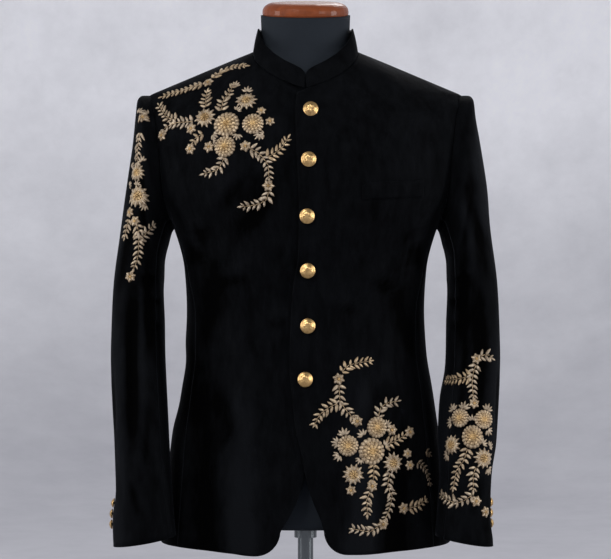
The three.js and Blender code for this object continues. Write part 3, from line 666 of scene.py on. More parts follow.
neck_turns = np.linspace(180, 90, BACK_NECK_ROWS * FINE + 1)
back_neck = np.stack([neck_turns, np.full(len(neck_turns), NECK_Z)], axis=-1)
back_top = np.concatenate([back_neck, shoulder_seam[1:]])
back_right = np.concatenate([back_seam[:-1], back_arm])
middle_heights = np.linspace(follow(hem, "z", 180, "turn"), NECK_Z, len(back_right))
back_left = np.stack([np.full(len(middle_heights), 180.0), middle_heights], axis=-1)
back_turns = np.linspace(180, back_seam[0, 0], len(back_top))
back_hem = np.stack([back_turns, follow(hem, "z", back_turns, "turn")], axis=-1)
for name, side in (("back_left", 1), ("back_right", -1)):
    nodes = fill_panel(back_hem, back_top, back_left, back_right)
    make_panel(name, nodes, side, ["left", "top", "right"])


# Sleeves: two-piece sleeves of the same velvet, set into the armholes with a
# lightly roped head, curved forward from the elbow, and seamed down the front
# and the back of the arm. They hang empty and a little flattened.
rings = table("at outX outZ inX inZ y deep", [
    (0, 222, 868, 186, 679, 0, 68),
    (1, 231, 867.5, 188, 676.5, 0, 72),
    (2, 237.5, 861, 190, 673, 0, 76),
    (3, 240, 838, 192, 666, -2, 78),
    (4, 243.5, 800, 194.5, 655, -5, 78),
    (5, 249, 760, 197.5, 643, -8, 77),
    (6, 255.5, 712, 199.5, 627, -12, 75),
    (7, 262, 660, 199.5, 606, -18, 72),
    (8, 267.5, 616, 198.5, 580, -25, 68),
    (9, 271, 570, 197, 551, -34, 64),
    (10, 271.5, 521, 196, 510, -44, 60),
    (11, 269.5, 473, 193.5, 468, -54, 57),
    (12, 266, 424, 190.5, 423, -64, 53.5),
    (13, 263, 376, 187.5, 377, -74, 50),
    (14, 260.5, 328, 184, 331, -83, 47),
    (15, 258.5, 285, 180.5, 290, -91, 44),
    (16, 256.5, 244, 177, 258, -98, 41.5),
])
SLEEVE_SQUARE = 2.12
sleeve_folds = [
    dict(angle=84, lean=-6, low=7.5, high=13.5, width=13, depth=3.2),
    dict(angle=48, lean=10, low=8.5, high=15.5, width=12, depth=-2.4),
    dict(angle=118, lean=8, low=6.2, high=10.5, width=12, depth=3.0),
    dict(angle=205, lean=20, low=7, high=10, width=16, depth=3.6),
    dict(angle=262, lean=-14, low=6.5, high=11.5, width=14, depth=3.4),
    dict(angle=300, lean=8, low=9, high=15, width=14, depth=-2.4),
]
sleeve_creases = [
    dict(angle=120, at=7.4, tilt=30, long=60, wide=8, deep=2.2),
    dict(angle=138, at=8.3, tilt=16, long=56, wide=7, deep=2.4),
    dict(angle=128, at=9.2, tilt=-10, long=52, wide=7, deep=1.8),
    dict(angle=60, at=6.6, tilt=58, long=70, wide=9, deep=1.5),
    dict(angle=72, at=4.4, tilt=74, long=80, wide=10, deep=1.7),
    dict(angle=98, at=5.4, tilt=-66, long=74, wide=9, deep=1.8),
    dict(angle=34, at=11.6, tilt=80, long=90, wide=9, deep=1.5),
    dict(angle=104, at=12.6, tilt=84, long=84, wide=8, deep=1.6),
    dict(angle=76, at=14.4, tilt=-70, long=60, wide=8, deep=1.3),
    dict(angle=212, at=8.0, tilt=-24, long=60, wide=8, deep=2.2),
    dict(angle=232, at=9.0, tilt=18, long=54, wide=8, deep=2.0),
    dict(angle=286, at=7.0, tilt=62, long=84, wide=10, deep=1.6),
    dict(angle=270, at=4.2, tilt=-70, long=80, wide=10, deep=1.8),
    dict(angle=322, at=5.6, tilt=82, long=90, wide=11, deep=1.3),
    dict(angle=8, at=9.4, tilt=86, long=100, wide=11, deep=1.4),
    dict(angle=290, at=12.4, tilt=-78, long=80, wide=9, deep=1.5),
]
# Long soft ridges and troughs that only one sleeve has
one_sided = {
    1: [
        dict(angle=2, at=4.8, tilt=90, long=150, wide=40, deep=-7),
        dict(angle=186, at=12.2, tilt=90, long=130, wide=34, deep=-6),
        dict(angle=4, at=14.4, tilt=90, long=130, wide=34, deep=6.5),
        dict(angle=96, at=5.6, tilt=87, long=200, wide=8, deep=-1.7),
        dict(angle=70, at=6.4, tilt=84, long=160, wide=8, deep=1.5),
        dict(angle=116, at=11.0, tilt=-84, long=150, wide=8, deep=1.4),
    ],
    -1: [
        dict(angle=2, at=15.6, tilt=90, long=110, wide=34, deep=-6),
        dict(angle=102, at=10.4, tilt=88, long=240, wide=8, deep=-1.9),
        dict(angle=80, at=11.0, tilt=86, long=200, wide=8, deep=1.5),
        dict(angle=58, at=7.4, tilt=82, long=120, wide=9, deep=1.5),
    ],
}
RING_STEP = 44.0
SLEEVE_GIRTH = 56.0
SEAT = 0.4
HEAD_IN = 8.0


def signed_power(value, exponent):
    return np.sign(value) * np.abs(value) ** exponent


def sleeve_depth(angle, at, side):
    """How far a sleeve's folds and creases sink, at an angle and a ring."""
    return long_folds(sleeve_folds, angle, at, "angle", True) + crease_depth(
        sleeve_creases + one_sided[side],
        lambda c: np.radians((angle - c["angle"] + 540) % 360 - 180) * SLEEVE_GIRTH,
        lambda c: (c["at"] - at) * RING_STEP)


def sleeve_point(angle, at, side=1):
    """Points of a sleeve, not yet mirrored, at angles from its outer line through the front."""
    angle, at = np.broadcast_arrays(np.asarray(angle, float), np.asarray(at, float))
    ring = {key: follow(rings, key, at, "at") for key in rings}
    cosine = signed_power(np.cos(np.radians(angle)), 2 / SLEEVE_SQUARE)
    sine = signed_power(np.sin(np.radians(angle)), 2 / SLEEVE_SQUARE)
    outer_line = np.stack([ring["outX"], ring["y"], ring["outZ"]], axis=-1)
    inner_line = np.stack([ring["inX"], ring["y"], ring["inZ"]], axis=-1)
    middle, reach = (outer_line + inner_line) / 2, (outer_line - inner_line) / 2
    point = middle + reach * cosine[..., None]
    point[..., 1] -= ring["deep"] * sine
    away = point - middle
    away /= np.linalg.norm(away, axis=-1, keepdims=True)
    point = point - away * sleeve_depth(angle, at, side)[..., None]
    node = armhole(angle)
    seat = body_point(node[..., 0], node[..., 1])
    out = body_normal(node[..., 0], node[..., 1])
    inward = np.array([TIP_X - HEAD_IN, 0, ARM_MIDDLE]) - seat
    inward -= out * np.sum(inward * out, axis=-1, keepdims=True)
    seat = seat + inward * (SEAT / np.linalg.norm(inward, axis=-1, keepdims=True))
    share = np.clip(at, 0, 1)[..., None]
    return mix(seat, point, share)


def right_sleeve_point(angle, at):
    return sleeve_point(angle, at, -1)


def sleeve_normal(angle, at, side=1):
    surface = sleeve_point if side > 0 else right_sleeve_point
    return normals(surface, angle, np.clip(at, 0.1, 15.9), 1.0, 0.09)


stations = front_stations + under_stations[1:] + back_stations[1:]
FRONT_SEAM, BACK_SEAM, LAST = 9, 17, len(stations) - 1
CUFF_FRONT, CUFF_BACK, SETTLE = 140.0, 322.0, 6.0


def sleeve_angle(station, at):
    """Angle of a line of points that runs down the sleeve; lines may be counted below 0."""
    wrapped = np.mod(station, LAST)
    start = np.interp(wrapped, np.arange(LAST + 1), stations)
    end = np.interp(wrapped, [0, FRONT_SEAM, BACK_SEAM, LAST], [0, CUFF_FRONT, CUFF_BACK, 360])
    whole = np.where(station < 0, 360.0, 0.0)
    return mix(start, end, ease(0, SETTLE, at)) - whole


SLEEVE_GAP, HEAD_RINGS, HEAD_FINE = 0.3, 3, 8


def make_sleeve(name, side, first, last):
    """One piece of a sleeve, between two of its lines of points."""
    station = np.arange(first * FINE, last * FINE + 1) / FINE
    last_ring = len(rings["at"]) - 1
    head = np.linspace(0, HEAD_RINGS, HEAD_RINGS * HEAD_FINE + 1)
    arm = np.linspace(HEAD_RINGS, last_ring, (last_ring - HEAD_RINGS) * FINE + 1)
    at = np.concatenate([head[:-1], arm])
    at, station = np.meshgrid(at, station, indexing="ij")
    angle = sleeve_angle(station, at)
    outer = sleeve_point(angle, at, side)
    out = sleeve_normal(angle, at, side)
    inner = outer - out * WALL
    for edge in ("left", "right"):
        dip = SEAM_DIP * np.exp(-((from_edge(outer, edge) / SEAM_WIDE) ** 2))
        outer = outer - out * dip[..., None]
    for edge in ("left", "right"):
        pull_edge(outer, edge, SLEEVE_GAP)
        pull_edge(inner, edge, SLEEVE_GAP)
    outer[..., 0] *= side
    inner[..., 0] *= side
    depth = sleeve_depth(angle, at, side)
    piece = make_cloth(f"cloth_{name}", outer, inner, EDGE_ROUND, side > 0, depth, satin)
    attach(piece, "root")
    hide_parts(name)


for word, side in (("left", 1), ("right", -1)):
    make_sleeve(f"sleeve_top_{word}", side, BACK_SEAM - LAST, FRONT_SEAM)
    make_sleeve(f"sleeve_under_{word}", side, FRONT_SEAM, BACK_SEAM)


# Collar: the bandh gala, a standing band of stiffened velvet that meets edge
# to edge at the throat with rounded corners and leans in towards its top.
COLLAR_WALL, COLLAR_GAP = 2.4, 0.45
COLLAR_TOP_X, COLLAR_TOP_FRONT, COLLAR_TOP_BACK = 67.5, 80.0, 58.0
COLLAR_HIGH_FRONT, COLLAR_HIGH_SIDE, COLLAR_HIGH_BACK = 28, 32, 36
COLLAR_START, COLLAR_BACK_STEPS = 2.2, 36
collar_ends = table("x share", [(2.2, 0.62), (4.2, 0.86), (8.5, 0.97), (16, 1), (74, 1)])


def collar_half():
    """Foot and top of the collar from one end to the middle of the back."""
    x = np.concatenate([np.linspace(COLLAR_START, 16, 15)[:-1], np.linspace(16, 66, 26)[:-1],
                        NECK_X - 8 * (1 - np.sin(np.linspace(0, np.pi / 2, 14)))])
    z = np.interp(x, neckline["x"], neckline["z"])
    base = body_point(turn_at(x, z), z, False)
    height = mix(COLLAR_HIGH_FRONT, COLLAR_HIGH_SIDE, x / NECK_X)
    share = follow(collar_ends, "share", x, "x")
    turn = np.linspace(90, 180, COLLAR_BACK_STEPS + 1)[1:]
    base = np.concatenate([base, body_point(turn, np.full(COLLAR_BACK_STEPS, NECK_Z), False)])
    height = np.concatenate([height, mix(COLLAR_HIGH_SIDE, COLLAR_HIGH_BACK, (turn - 90) / 90)])
    share = np.concatenate([share, np.ones(COLLAR_BACK_STEPS)])
    front, back = follow(sections, "front", TIP_Z), follow(sections, "back", NECK_Z)
    y = base[:, 1]
    top_y = np.where(y < 0, y * COLLAR_TOP_FRONT / front, y * COLLAR_TOP_BACK / back)
    top = np.stack([base[:, 0] * COLLAR_TOP_X / NECK_X, top_y, base[:, 2] + height], axis=-1)
    return base, top, share


def make_collar():
    base, top, share = collar_half()
    mirrored = np.array([-1, 1, 1])
    base = np.concatenate([base, base[-2::-1] * mirrored])
    top = np.concatenate([top, top[-2::-1] * mirrored])
    share = np.concatenate([share, share[-2::-1]])
    rise = top - base
    unit = rise / np.linalg.norm(rise, axis=-1, keepdims=True)
    rows = np.linspace(0, 1, 15)[:, None, None]
    outer = mix((base + unit * COLLAR_GAP)[None], (base + rise * share[:, None])[None], rows)
    along = np.gradient(outer, axis=1)
    inward = np.stack([-along[..., 1], along[..., 0], 0 * along[..., 0]], axis=-1)
    inward /= np.linalg.norm(inward, axis=-1, keepdims=True)
    outer = outer - inward * 0.5 * np.sin(np.pi * rows)
    inner = outer + inward * (COLLAR_WALL - 0.2)
    collar = make_cloth("cloth_collar", outer, inner, 0.35, lining=satin)
    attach(collar, "root")
    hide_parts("collar")


make_collar()


# Sewing: each seam is closed with black thread, sunk between the two edges
# that it joins.
def sew(name, lines):
    """Round threads along lines of points, joined into one piece."""
    thick, sides = 0.75, 6
    points, faces, count = [], [], 0
    ring = 2 * np.pi * np.arange(sides) / sides
    for line in lines:
        along = np.gradient(line, axis=0)
        along /= np.linalg.norm(along, axis=-1, keepdims=True)
        away = np.cross(along, [0.31, 0.87, 0.38])
        away /= np.linalg.norm(away, axis=-1, keepdims=True)
        over = np.cross(along, away)
        tube = line[:, None] + thick * (np.cos(ring)[None, :, None] * away[:, None]
                                        + np.sin(ring)[None, :, None] * over[:, None])
        points.append(tube.reshape(-1, 3))
        faces += ring_faces(len(line), sides, count)
        faces.append(tuple(count + i for i in range(sides))[::-1])
        count += len(line) * sides
        faces.append(tuple(count - sides + i for i in range(sides)))
    seam = to_object(name, np.concatenate(points), faces, velvet)
    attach(seam, "root")


THREAD_SUNK = WALL / 2 + 0.25


def sunk(turns, z, side):
    return body_point(turns * side, z) - body_normal(turns * side, z) * THREAD_SUNK


back_heights = np.linspace(242, NECK_Z - 2, 60)
body_lines = [sunk(np.full(len(back_heights), 180.0), back_heights, 1)]
for side in (1, -1):
    for seam in (front_seam, back_seam):
        body_lines.append(sunk(seam[2:, 0], seam[2:, 1], side))
    body_lines.append(sunk(shoulder_seam[1:, 0], shoulder_seam[1:, 1], side))
    loop = armhole(np.linspace(0, 360, 145))
    body_lines.append(sunk(loop[:, 0], loop[:, 1], side))
sew("body_sewing", body_lines)


# Breast welt: a folded strip of velvet that finishes the breast pocket on the
# wearer's left, sewn down at its ends and along its lower edge.
def make_welt():
    start, end, foot, high, slant, long = 76, 160, 715, 22, 5, 85
    thin, swells, soft = 1.5, 0.9, 1.6
    u = np.linspace(0, 1, 49)[None, :]
    v = np.linspace(0, 1, 13)[:, None]
    x = mix(start, end, u) + 0 * v
    z = foot + high * v + slant * u
    turn = turn_at(x, z)
    place, out = body_point(turn, z), body_normal(turn, z)
    edge = np.minimum(np.minimum(u, 1 - u) * long, np.minimum(v, 1 - v) * high)
    swell = thin + swells * (1 - np.exp(-((edge / soft) ** 2)))
    outer = place + out * (SEAT + swell)[..., None]
    inner = place + out * SEAT
    welt = make_cloth("cloth_breast_welt", outer, inner, 0.3)
    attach(welt, "root")
    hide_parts("breast_welt")


make_welt()


# Buttons: domed shank buttons of antique gold, six down the front and three
# on each cuff, stamped with a plain petal relief inside a roped rim and sewn
# on through the shank.
front_buttons = [(7, 838), (4.3, 768.7), (2.2, 692.2), (3, 619), (3.2, 544), (-0.4, 471.5)]
CUFF_RINGS, CUFF_ANGLE = (14.64, 14.975, 15.31), {1: 347.0, -1: 357.0}
FRONT_RADIUS, FRONT_HIGH, CUFF_RADIUS, CUFF_HIGH = 10.2, 7.8, 6.6, 5.2
FRONT_SIDES, CUFF_SIDES = 64, 40
SHANK_SHARE, RELIEF_HIGH = 0.26, 8.4


def make_gold():
    material, surface, place = new_material("stamped_gold", Metallic=1.0, Specular_IOR_Level=0.5)
    worn = noise(place, 260.0, 4.0, 0.6)
    fine = noise(place, 2400.0, 2.0, 0.5)
    plug(surface, Base_Color=blend_colour(worn * 1.25 - 0.12, (0.36, 0.21, 0.08), (0.82, 0.55, 0.24)))
    plug(surface, Roughness=0.20 + worn * 0.22)
    plug(surface, Normal=bump(fine, 0.25, 0.0002))
    return material


button_gold = make_gold()


def crown_rise(share, angle, high):
    """Height of a button's stamped top, at a share of its radius."""
    dome = high * (0.36 + 0.6 * (1 - share**2.3))
    petals = 0.55 * np.abs(np.cos(4 * angle)) ** 0.6 * np.exp(-(((share - 0.42) / 0.2) ** 2))
    rope = (0.21 + 0.21 * np.cos(22 * angle + 9 * share)) * np.exp(-(((share - 0.86) / 0.06) ** 2))
    rim_groove = 0.28 * np.exp(-(((share - 0.74) / 0.035) ** 2))
    heart_groove = 0.2 * np.exp(-(((share - 0.14) / 0.05) ** 2))
    return dome + (petals + rope - rim_groove - heart_groove) * high / RELIEF_HIGH


def make_button(name, place, out, radius, high, sides):
    """A button whose shank starts at a place on the cloth and points along out."""
    angle = np.linspace(0, 2 * np.pi, sides, endpoint=False)
    crown = [0.0, 0.1, 0.2, 0.3, 0.4, 0.5, 0.6, 0.68, 0.74, 0.8, 0.85, 0.9, 0.95, 0.985]
    rings_of = [(share, crown_rise(share, angle, high)) for share in crown]
    rings_of += [(1.0, high * 0.38), (0.985, high * 0.3), (0.93, high * 0.26),
                 (SHANK_SHARE, high * 0.24), (SHANK_SHARE, SEAT), (0.0, SEAT)]
    grid = np.stack([np.stack([radius * share * np.cos(angle), radius * share * np.sin(angle),
                               rise + 0 * angle], axis=-1) for share, rise in rings_of])
    out = out / np.linalg.norm(out)
    across = np.cross([0.0, 0.0, 1.0], out)
    across /= np.linalg.norm(across)
    up = np.cross(out, across)
    world = place + grid[..., :1] * across + grid[..., 1:2] * up + grid[..., 2:] * out
    points = np.concatenate([world[0, :1], world[1:-1].reshape(-1, 3), world[-1, :1]])
    last = len(points) - 1
    faces = [face[::-1] for face in ring_faces(len(rings_of) - 2, sides, 1)]
    for i in range(sides):
        n = (i + 1) % sides
        faces.append((0, 1 + i, 1 + n))
        faces.append((last, last - sides + n, last - sides + i))
    button = to_object(f"gold_{name}", points, faces, button_gold)
    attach(button, "root")
    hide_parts(name)


# A front button hangs from its thread, so it leans less than the cloth does
LEVELLED = np.array([1, 1, 0.4])
for k, (x, z) in enumerate(front_buttons):
    turn = turn_at(x, z)
    out = body_normal(turn, z) * LEVELLED
    make_button(f"button_front_{k + 1}", body_point(turn, z), out, FRONT_RADIUS, FRONT_HIGH, FRONT_SIDES)
for word, side in (("left", 1), ("right", -1)):
    mirror = np.array([side, 1, 1])
    for k, ring in enumerate(CUFF_RINGS):
        place = sleeve_point(CUFF_ANGLE[side], ring, side) * mirror
        out = sleeve_normal(CUFF_ANGLE[side], ring, side) * mirror
        make_button(f"button_cuff_{word}_{k + 1}", place, out, CUFF_RADIUS, CUFF_HIGH, CUFF_SIDES)


# Embroidery: zardozi in antique gold, couched on the velvet before it is cut.
# Coiled-cord rosettes and pointed flowers with beaded hearts sit among sprays
# of padded satin-stitch leaves. Lengths are millimetres on the cloth.
def make_thread():
    material, surface, place = new_material("gold_thread", Metallic=0.75, Specular_IOR_Level=0.45)
    warm, strand, painted_shade = [read_attribute(place, name) for name in ("warm", "strand", "painted_shade")]
    tarnish = noise(place, 170.0, 4.0, 0.65)
    glint = noise(place, 900.0, 2.0, 0.6)
    pale = blend_colour(tarnish * 2.2 - 0.6, (0.15, 0.11, 0.075), (0.62, 0.51, 0.38))
    rich = blend_colour(tarnish * 2.2 - 0.6, (0.24, 0.14, 0.050), (0.78, 0.54, 0.26))
    metal = blend_colour(warm, pale, rich)
    # Painted shade: the thread is mixed towards dark brown in the dips between stitches and where it lies
    # in the sleeve's shadow.
    plug(surface, Base_Color=blend_colour(painted_shade * 0.88, metal, (0.045, 0.022, 0.008)))
    plug(surface, Roughness=0.27 + glint * 0.3)
    twist = strand.node("ShaderNodeMath", {"operation": "SINE"}, in0=strand * 9.0)
    plug(surface, Normal=bump(twist * 0.5 + glint * 0.6, 0.5, 0.0003))
    return material


thread = make_thread()


# Every stitched bit is rows of: across, up, height, length along its strands, and the painted shade it gets
# where it dips between its neighbours
def leaf(length, width, high, blunt=0.0):
    """A padded satin-stitch leaf that starts at 0, 0 and points up."""
    rows, columns = 7, 5
    s = np.linspace(0, 1, rows)[:, None]
    t = np.linspace(-1, 1, columns)[None, :]
    belly = np.sin(np.pi * s ** (0.75 + 0.35 * blunt)).clip(0) ** (0.75 - 0.3 * blunt)
    half = width / 2 * belly
    rise = high * np.sqrt(1 - t**2) * np.sin(np.pi * s).clip(0) ** 0.4
    rise = rise * (1 - 0.22 * np.exp(-((t / 0.3) ** 2))) - 0.25
    painted_shade = np.clip(np.maximum(np.abs(t) ** 3 + 0 * s, np.abs(2 * s - 1) ** 6 + 0 * t), 0, 1)
    points = np.stack([half * t, s * length + 0 * t, rise, s * length + 0.3 * np.abs(t), painted_shade], axis=-1)
    return points.reshape(-1, 5), grid_faces(rows, columns)


def cord_ring(radius, thick, turns):
    """A couched cord in a ring, with the twist of its strands as small swells."""
    sides = 6
    count = max(18, int(radius * 5))
    a = np.linspace(0, 2 * np.pi, count, endpoint=False)[:, None]
    b = np.linspace(0, np.pi, sides)[None, :]
    swell = thick * (1 + 0.16 * np.cos(turns * a))
    reach = radius - np.cos(b) * swell
    # The last column is painted shade, darkest at the cord's sides where it meets the cloth.
    points = np.stack([reach * np.cos(a), reach * np.sin(a), np.sin(b) * swell * 1.1 - 0.2,
                       a * radius + 0 * b, np.cos(b) ** 4 + 0 * a], axis=-1)
    grid = np.arange(count * sides).reshape(count, sides)
    faces = [(int(grid[i, j]), int(grid[i, j + 1]), int(grid[(i + 1) % count, j + 1]),
              int(grid[(i + 1) % count, j])) for i in range(count) for j in range(sides - 1)]
    return points.reshape(-1, 5), faces


def bead(radius):
    """The upper part of a round bead, sewn down at its middle."""
    around, rows, last_tilt = 8, 4, 125
    points = [(0.0, 0.0, 1.7 * radius, 0.0, 0.0)]
    for j in range(1, rows + 1):
        tilt = math.radians(last_tilt * j / rows)
        for i in range(around):
            a = 2 * math.pi * (i + 0.5 * (j % 2)) / around
            # The last column is painted shade, darker towards the bead's lower side.
            points.append((radius * math.sin(tilt) * math.cos(a), radius * math.sin(tilt) * math.sin(a),
                           radius * (0.7 + math.cos(tilt)), 0.0, (j / rows) ** 3))
    faces = [(0, 1 + i, 1 + (i + 1) % around) for i in range(around)]
    faces += [face[::-1] for face in ring_faces(rows, around, 1)]
    return np.array(points), faces


class Motif:
    """Stitched bits joined into one flower or fan, flat, before it is laid."""

    def __init__(self):
        self.points, self.warm, self.faces, self.count = [], [], [], 0

    def add(self, bit, turn=0.0, place=(0.0, 0.0), warm=0.0):
        points, faces = bit
        c, s = math.cos(turn), math.sin(turn)
        moved = points.copy()
        moved[:, 0] = place[0] + c * points[:, 0] - s * points[:, 1]
        moved[:, 1] = place[1] + s * points[:, 0] + c * points[:, 1]
        self.points.append(moved)
        self.warm.append(np.full(len(moved), warm))
        self.faces += [tuple(k + self.count for k in face) for face in faces]
        self.count += len(moved)
        return self

    def petals(self, number, start, end, width, high, warm, blunt, offset=0.0, jitter=0.0):
        """Leaves round the middle, from one distance to another."""
        for k in range(number):
            turn = 2 * math.pi * (k + offset) / number
            longer = 1 + jitter * math.sin(2.4 * k * k + number)
            place = (-math.sin(turn) * start, math.cos(turn) * start)
            self.add(leaf((end - start) * longer, width, high, blunt), turn, place, warm)
        return self

    def hearts(self, radius, size, rings, warm):
        """Beads in rings round one in the middle."""
        self.add(bead(size), 0.0, (0.0, 0.0), warm)
        for ring in range(1, rings + 1):
            number = 6 * ring
            for k in range(number):
                turn = 2 * math.pi * (k + 0.3 * ring) / number
                away = radius * ring / rings
                self.add(bead(size * (0.95 - 0.1 * ((k + ring) % 2))), turn,
                         (away * math.cos(turn), away * math.sin(turn)), warm)
        return self

    def dome(self, radius, high):
        """Raises the middle of the motif, as over padding."""
        points = np.concatenate(self.points)
        away = np.hypot(points[:, 0], points[:, 1]) / radius
        points[:, 2] += high * np.clip(1 - away**2, 0, 1)
        self.points = [points]
        return self


def rosette(r):
    """Layered petals of couched cord round a heart of beads."""
    motif = Motif()
    motif.petals(18, 0.68 * r, 1.03 * r, 0.37 * r, 1.5, 0.22, 0.9)
    motif.add(cord_ring(0.73 * r, 0.7, 60), 0, (0, 0), 0.4)
    motif.petals(12, 0.42 * r, 0.75 * r, 0.38 * r, 1.8, 0.50, 0.9, 0.5)
    motif.add(cord_ring(0.47 * r, 0.7, 44), 0, (0, 0), 0.6)
    motif.petals(8, 0.18 * r, 0.49 * r, 0.35 * r, 2.0, 0.72, 0.9)
    motif.hearts(0.19 * r, 1.25, 2 if r > 12 else 1, 1.0)
    return motif.dome(r, 0.16 * r)


def pointed_flower(r):
    """Long pointed petals round a coiled disc and a heart of beads."""
    motif = Motif()
    motif.petals(12, 0.36 * r, 1.10 * r, 0.30 * r, 1.5, 0.05, 0.1, 0.0, 0.08)
    motif.petals(12, 0.38 * r, 0.86 * r, 0.22 * r, 1.8, 0.35, 0.1, 0.5, 0.06)
    motif.add(cord_ring(0.45 * r, 0.8, 40), 0, (0, 0), 0.6)
    motif.petals(8, 0.15 * r, 0.44 * r, 0.29 * r, 1.7, 0.8, 0.8)
    motif.hearts(0.16 * r, 1.15, 1, 1.0)
    return motif.dome(r, 0.14 * r)


def blossom(r):
    """A small flower of six petals with one ring of cord and a few beads."""
    motif = Motif()
    motif.petals(6, 0.16 * r, 1.08 * r, 0.60 * r, 1.6, 0.12, 0.5, 0.0, 0.05)
    motif.petals(6, 0.30 * r, 0.86 * r, 0.28 * r, 2.0, 0.4, 0.2, 0.5)
    motif.hearts(0.20 * r, 0.95, 1, 0.95)
    return motif.dome(r, 0.12 * r)


def fan(size, number=5):
    """A fan of leaves, as a tuft beside a flower."""
    motif = Motif()
    for k in range(number):
        share = k / (number - 1) - 0.5
        length = size * (1 - 0.4 * abs(share))
        motif.add(leaf(length, size * 0.36, 1.4), -share * 2.2, (share * 2.0, -1.0), 0.04)
    return motif


class Embroidery:
    """Bits laid on one cloth, each by its own place, then made into one piece."""

    walk_steps = 2

    def __init__(self, name, surface, find, side):
        self.name, self.surface, self.find, self.side = name, surface, find, side
        self.anchors, self.bits, self.warm, self.faces, self.count = [], [], [], [], 0

    def places(self, spots):
        """Anchors on the cloth of spots given as they are seen from the front."""
        x, z = np.array(spots, float).T
        return np.stack(self.find(x, z), axis=-1)

    def lay(self, motif, anchor, turn, lift=0.0, painted_shadow=0.0):
        """Adds a motif at an anchor, turned and lifted; one in the sleeve's shadow gets painted shade."""
        points = np.concatenate(motif.points)
        c, s = math.cos(turn), math.sin(turn)
        bit = points.copy()
        bit[:, 0] = c * points[:, 0] - s * points[:, 1]
        bit[:, 1] = s * points[:, 0] + c * points[:, 1]
        bit[:, 2] += lift
        bit[:, 4] = np.maximum(bit[:, 4], painted_shadow)
        self.anchors.append(np.repeat(anchor[None], len(bit), axis=0))
        self.bits.append(bit)
        self.warm += motif.warm
        self.faces += [tuple(k + self.count for k in face) for face in motif.faces]
        self.count += len(bit)

    def frame_at(self, a, b):
        """Across and up along the cloth, and how both its parameters run on it."""
        da, db = 0.5, 0.5 if self.name.startswith("embroidery_front") else 0.02
        along_a = (self.surface(a + da, b) - self.surface(a - da, b)) / (2 * da)
        along_b = (self.surface(a, b + db) - self.surface(a, b - db)) / (2 * db)
        out = np.cross(along_a, along_b)
        out /= np.linalg.norm(out, axis=-1, keepdims=True)
        out = np.where(out[..., 1:2] > 0, -out, out)
        up = np.array([0.0, 0.0, 1.0]) - out * out[..., 2:3]
        up /= np.linalg.norm(up, axis=-1, keepdims=True)
        across = np.cross(up, out)
        across = np.where(across[..., :1] < 0, -across, across)
        return along_a, along_b, across, up, out

    def walk(self, anchors, offsets):
        """Places reached from each anchor by going so far across and up the cloth."""
        steps = self.walk_steps
        a, b = anchors[:, 0].copy(), anchors[:, 1].copy()
        for _step in range(steps):
            along_a, along_b, across, up, _out = self.frame_at(a, b)
            au, av = np.sum(along_a * across, -1), np.sum(along_a * up, -1)
            bu, bv = np.sum(along_b * across, -1), np.sum(along_b * up, -1)
            area = au * bv - av * bu
            u, v = offsets[:, 0] / steps, offsets[:, 1] / steps
            a += (u * bv - v * bu) / area
            b += (v * au - u * av) / area
        return a, b

    def spray(self, path, longest=12.6, step=6.9, painted_shadow=0.0):
        """Paired leaves along a thin stem, which ends in a leaf."""
        start = 0.25
        path = np.array(path, float)
        tone = 0.2 + 0.2 * math.sin(0.9 * path[0, 0] + path[0, 1])
        t = np.linspace(0, 1, len(path))
        fine = np.linspace(0, 1, 8 * (len(path) - 1) + 1)
        line = {"t": t, "x": path[:, 0], "z": path[:, 1]}
        spots = self.places(np.stack([follow(line, "x", fine, "t"), follow(line, "z", fine, "t")], axis=-1))
        marks = self.surface(spots[:, 0], spots[:, 1])
        run = np.concatenate([[0], np.cumsum(np.linalg.norm(np.diff(marks, axis=0), axis=-1))])
        nodes = np.append(np.arange(start * step, run[-1] - 2.0, step), run[-1])
        seats = np.stack([np.interp(nodes, run, spots[:, c]) for c in (0, 1)], axis=-1)
        ahead, behind = np.minimum(nodes + 2.5, run[-1]), np.maximum(nodes - 2.5, 0.0)
        way = np.stack([np.interp(ahead, run, marks[:, c]) - np.interp(behind, run, marks[:, c])
                        for c in range(3)], axis=-1)
        _a, _b, across, up, _out = self.frame_at(seats[:, 0], seats[:, 1])
        turns = np.arctan2(-np.sum(way * across, -1), np.sum(way * up, -1))
        for k, at in enumerate(nodes):
            share = at / run[-1]
            length = longest * (1 - 0.32 * share) * (0.94 + 0.14 * math.sin(3.1 * k + path[0, 0]))
            loose = 0.13 * math.sin(5.3 * k + path[0, 1])
            pair = Motif()
            if k == len(nodes) - 1:
                pair.add(leaf(length, length * 0.42, 1.5), 0.0, (0.0, -0.3 * length), tone)
            else:
                open_by = 0.98 - 0.2 * share
                pair.add(leaf(length, length * 0.43, 1.7), loose - open_by, (0.4, 0.0), tone)
                shorter = leaf(length * (0.95 - loose), length * 0.43, 1.7)
                pair.add(shorter, loose + open_by, (-0.4, 0.9), tone)
                pair.add(leaf(step * 1.2, 1.3, 1.0, 0.5), 0.0, (0.0, -0.4), 0.4)
            self.lay(pair, seats[k], float(turns[k]), 0.0, painted_shadow)

    def finish(self):
        """Wraps all the bits round the cloth and joins them into one piece."""
        anchors, bits = np.concatenate(self.anchors), np.concatenate(self.bits)
        a, b = self.walk(anchors, bits)
        out = self.frame_at(a, b)[-1]
        points = self.surface(a, b) + out * bits[:, 2:3]
        points[:, 0] *= self.side
        piece = to_object(self.name, points, self.faces, thread)
        set_attribute(piece, "warm", np.concatenate(self.warm))
        set_attribute(piece, "strand", bits[:, 3])
        set_attribute(piece, "painted_shade", bits[:, 4])
        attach(piece, "root")


def find_on_front(x, z):
    return turn_at(x, z), z


def right_front(turn, z):
    """The right front's outside, as it sinks under the left one."""
    point = body_point(turn, z)
    return point - body_normal(turn, z) * under_lap(point[..., 0], z)[..., None]


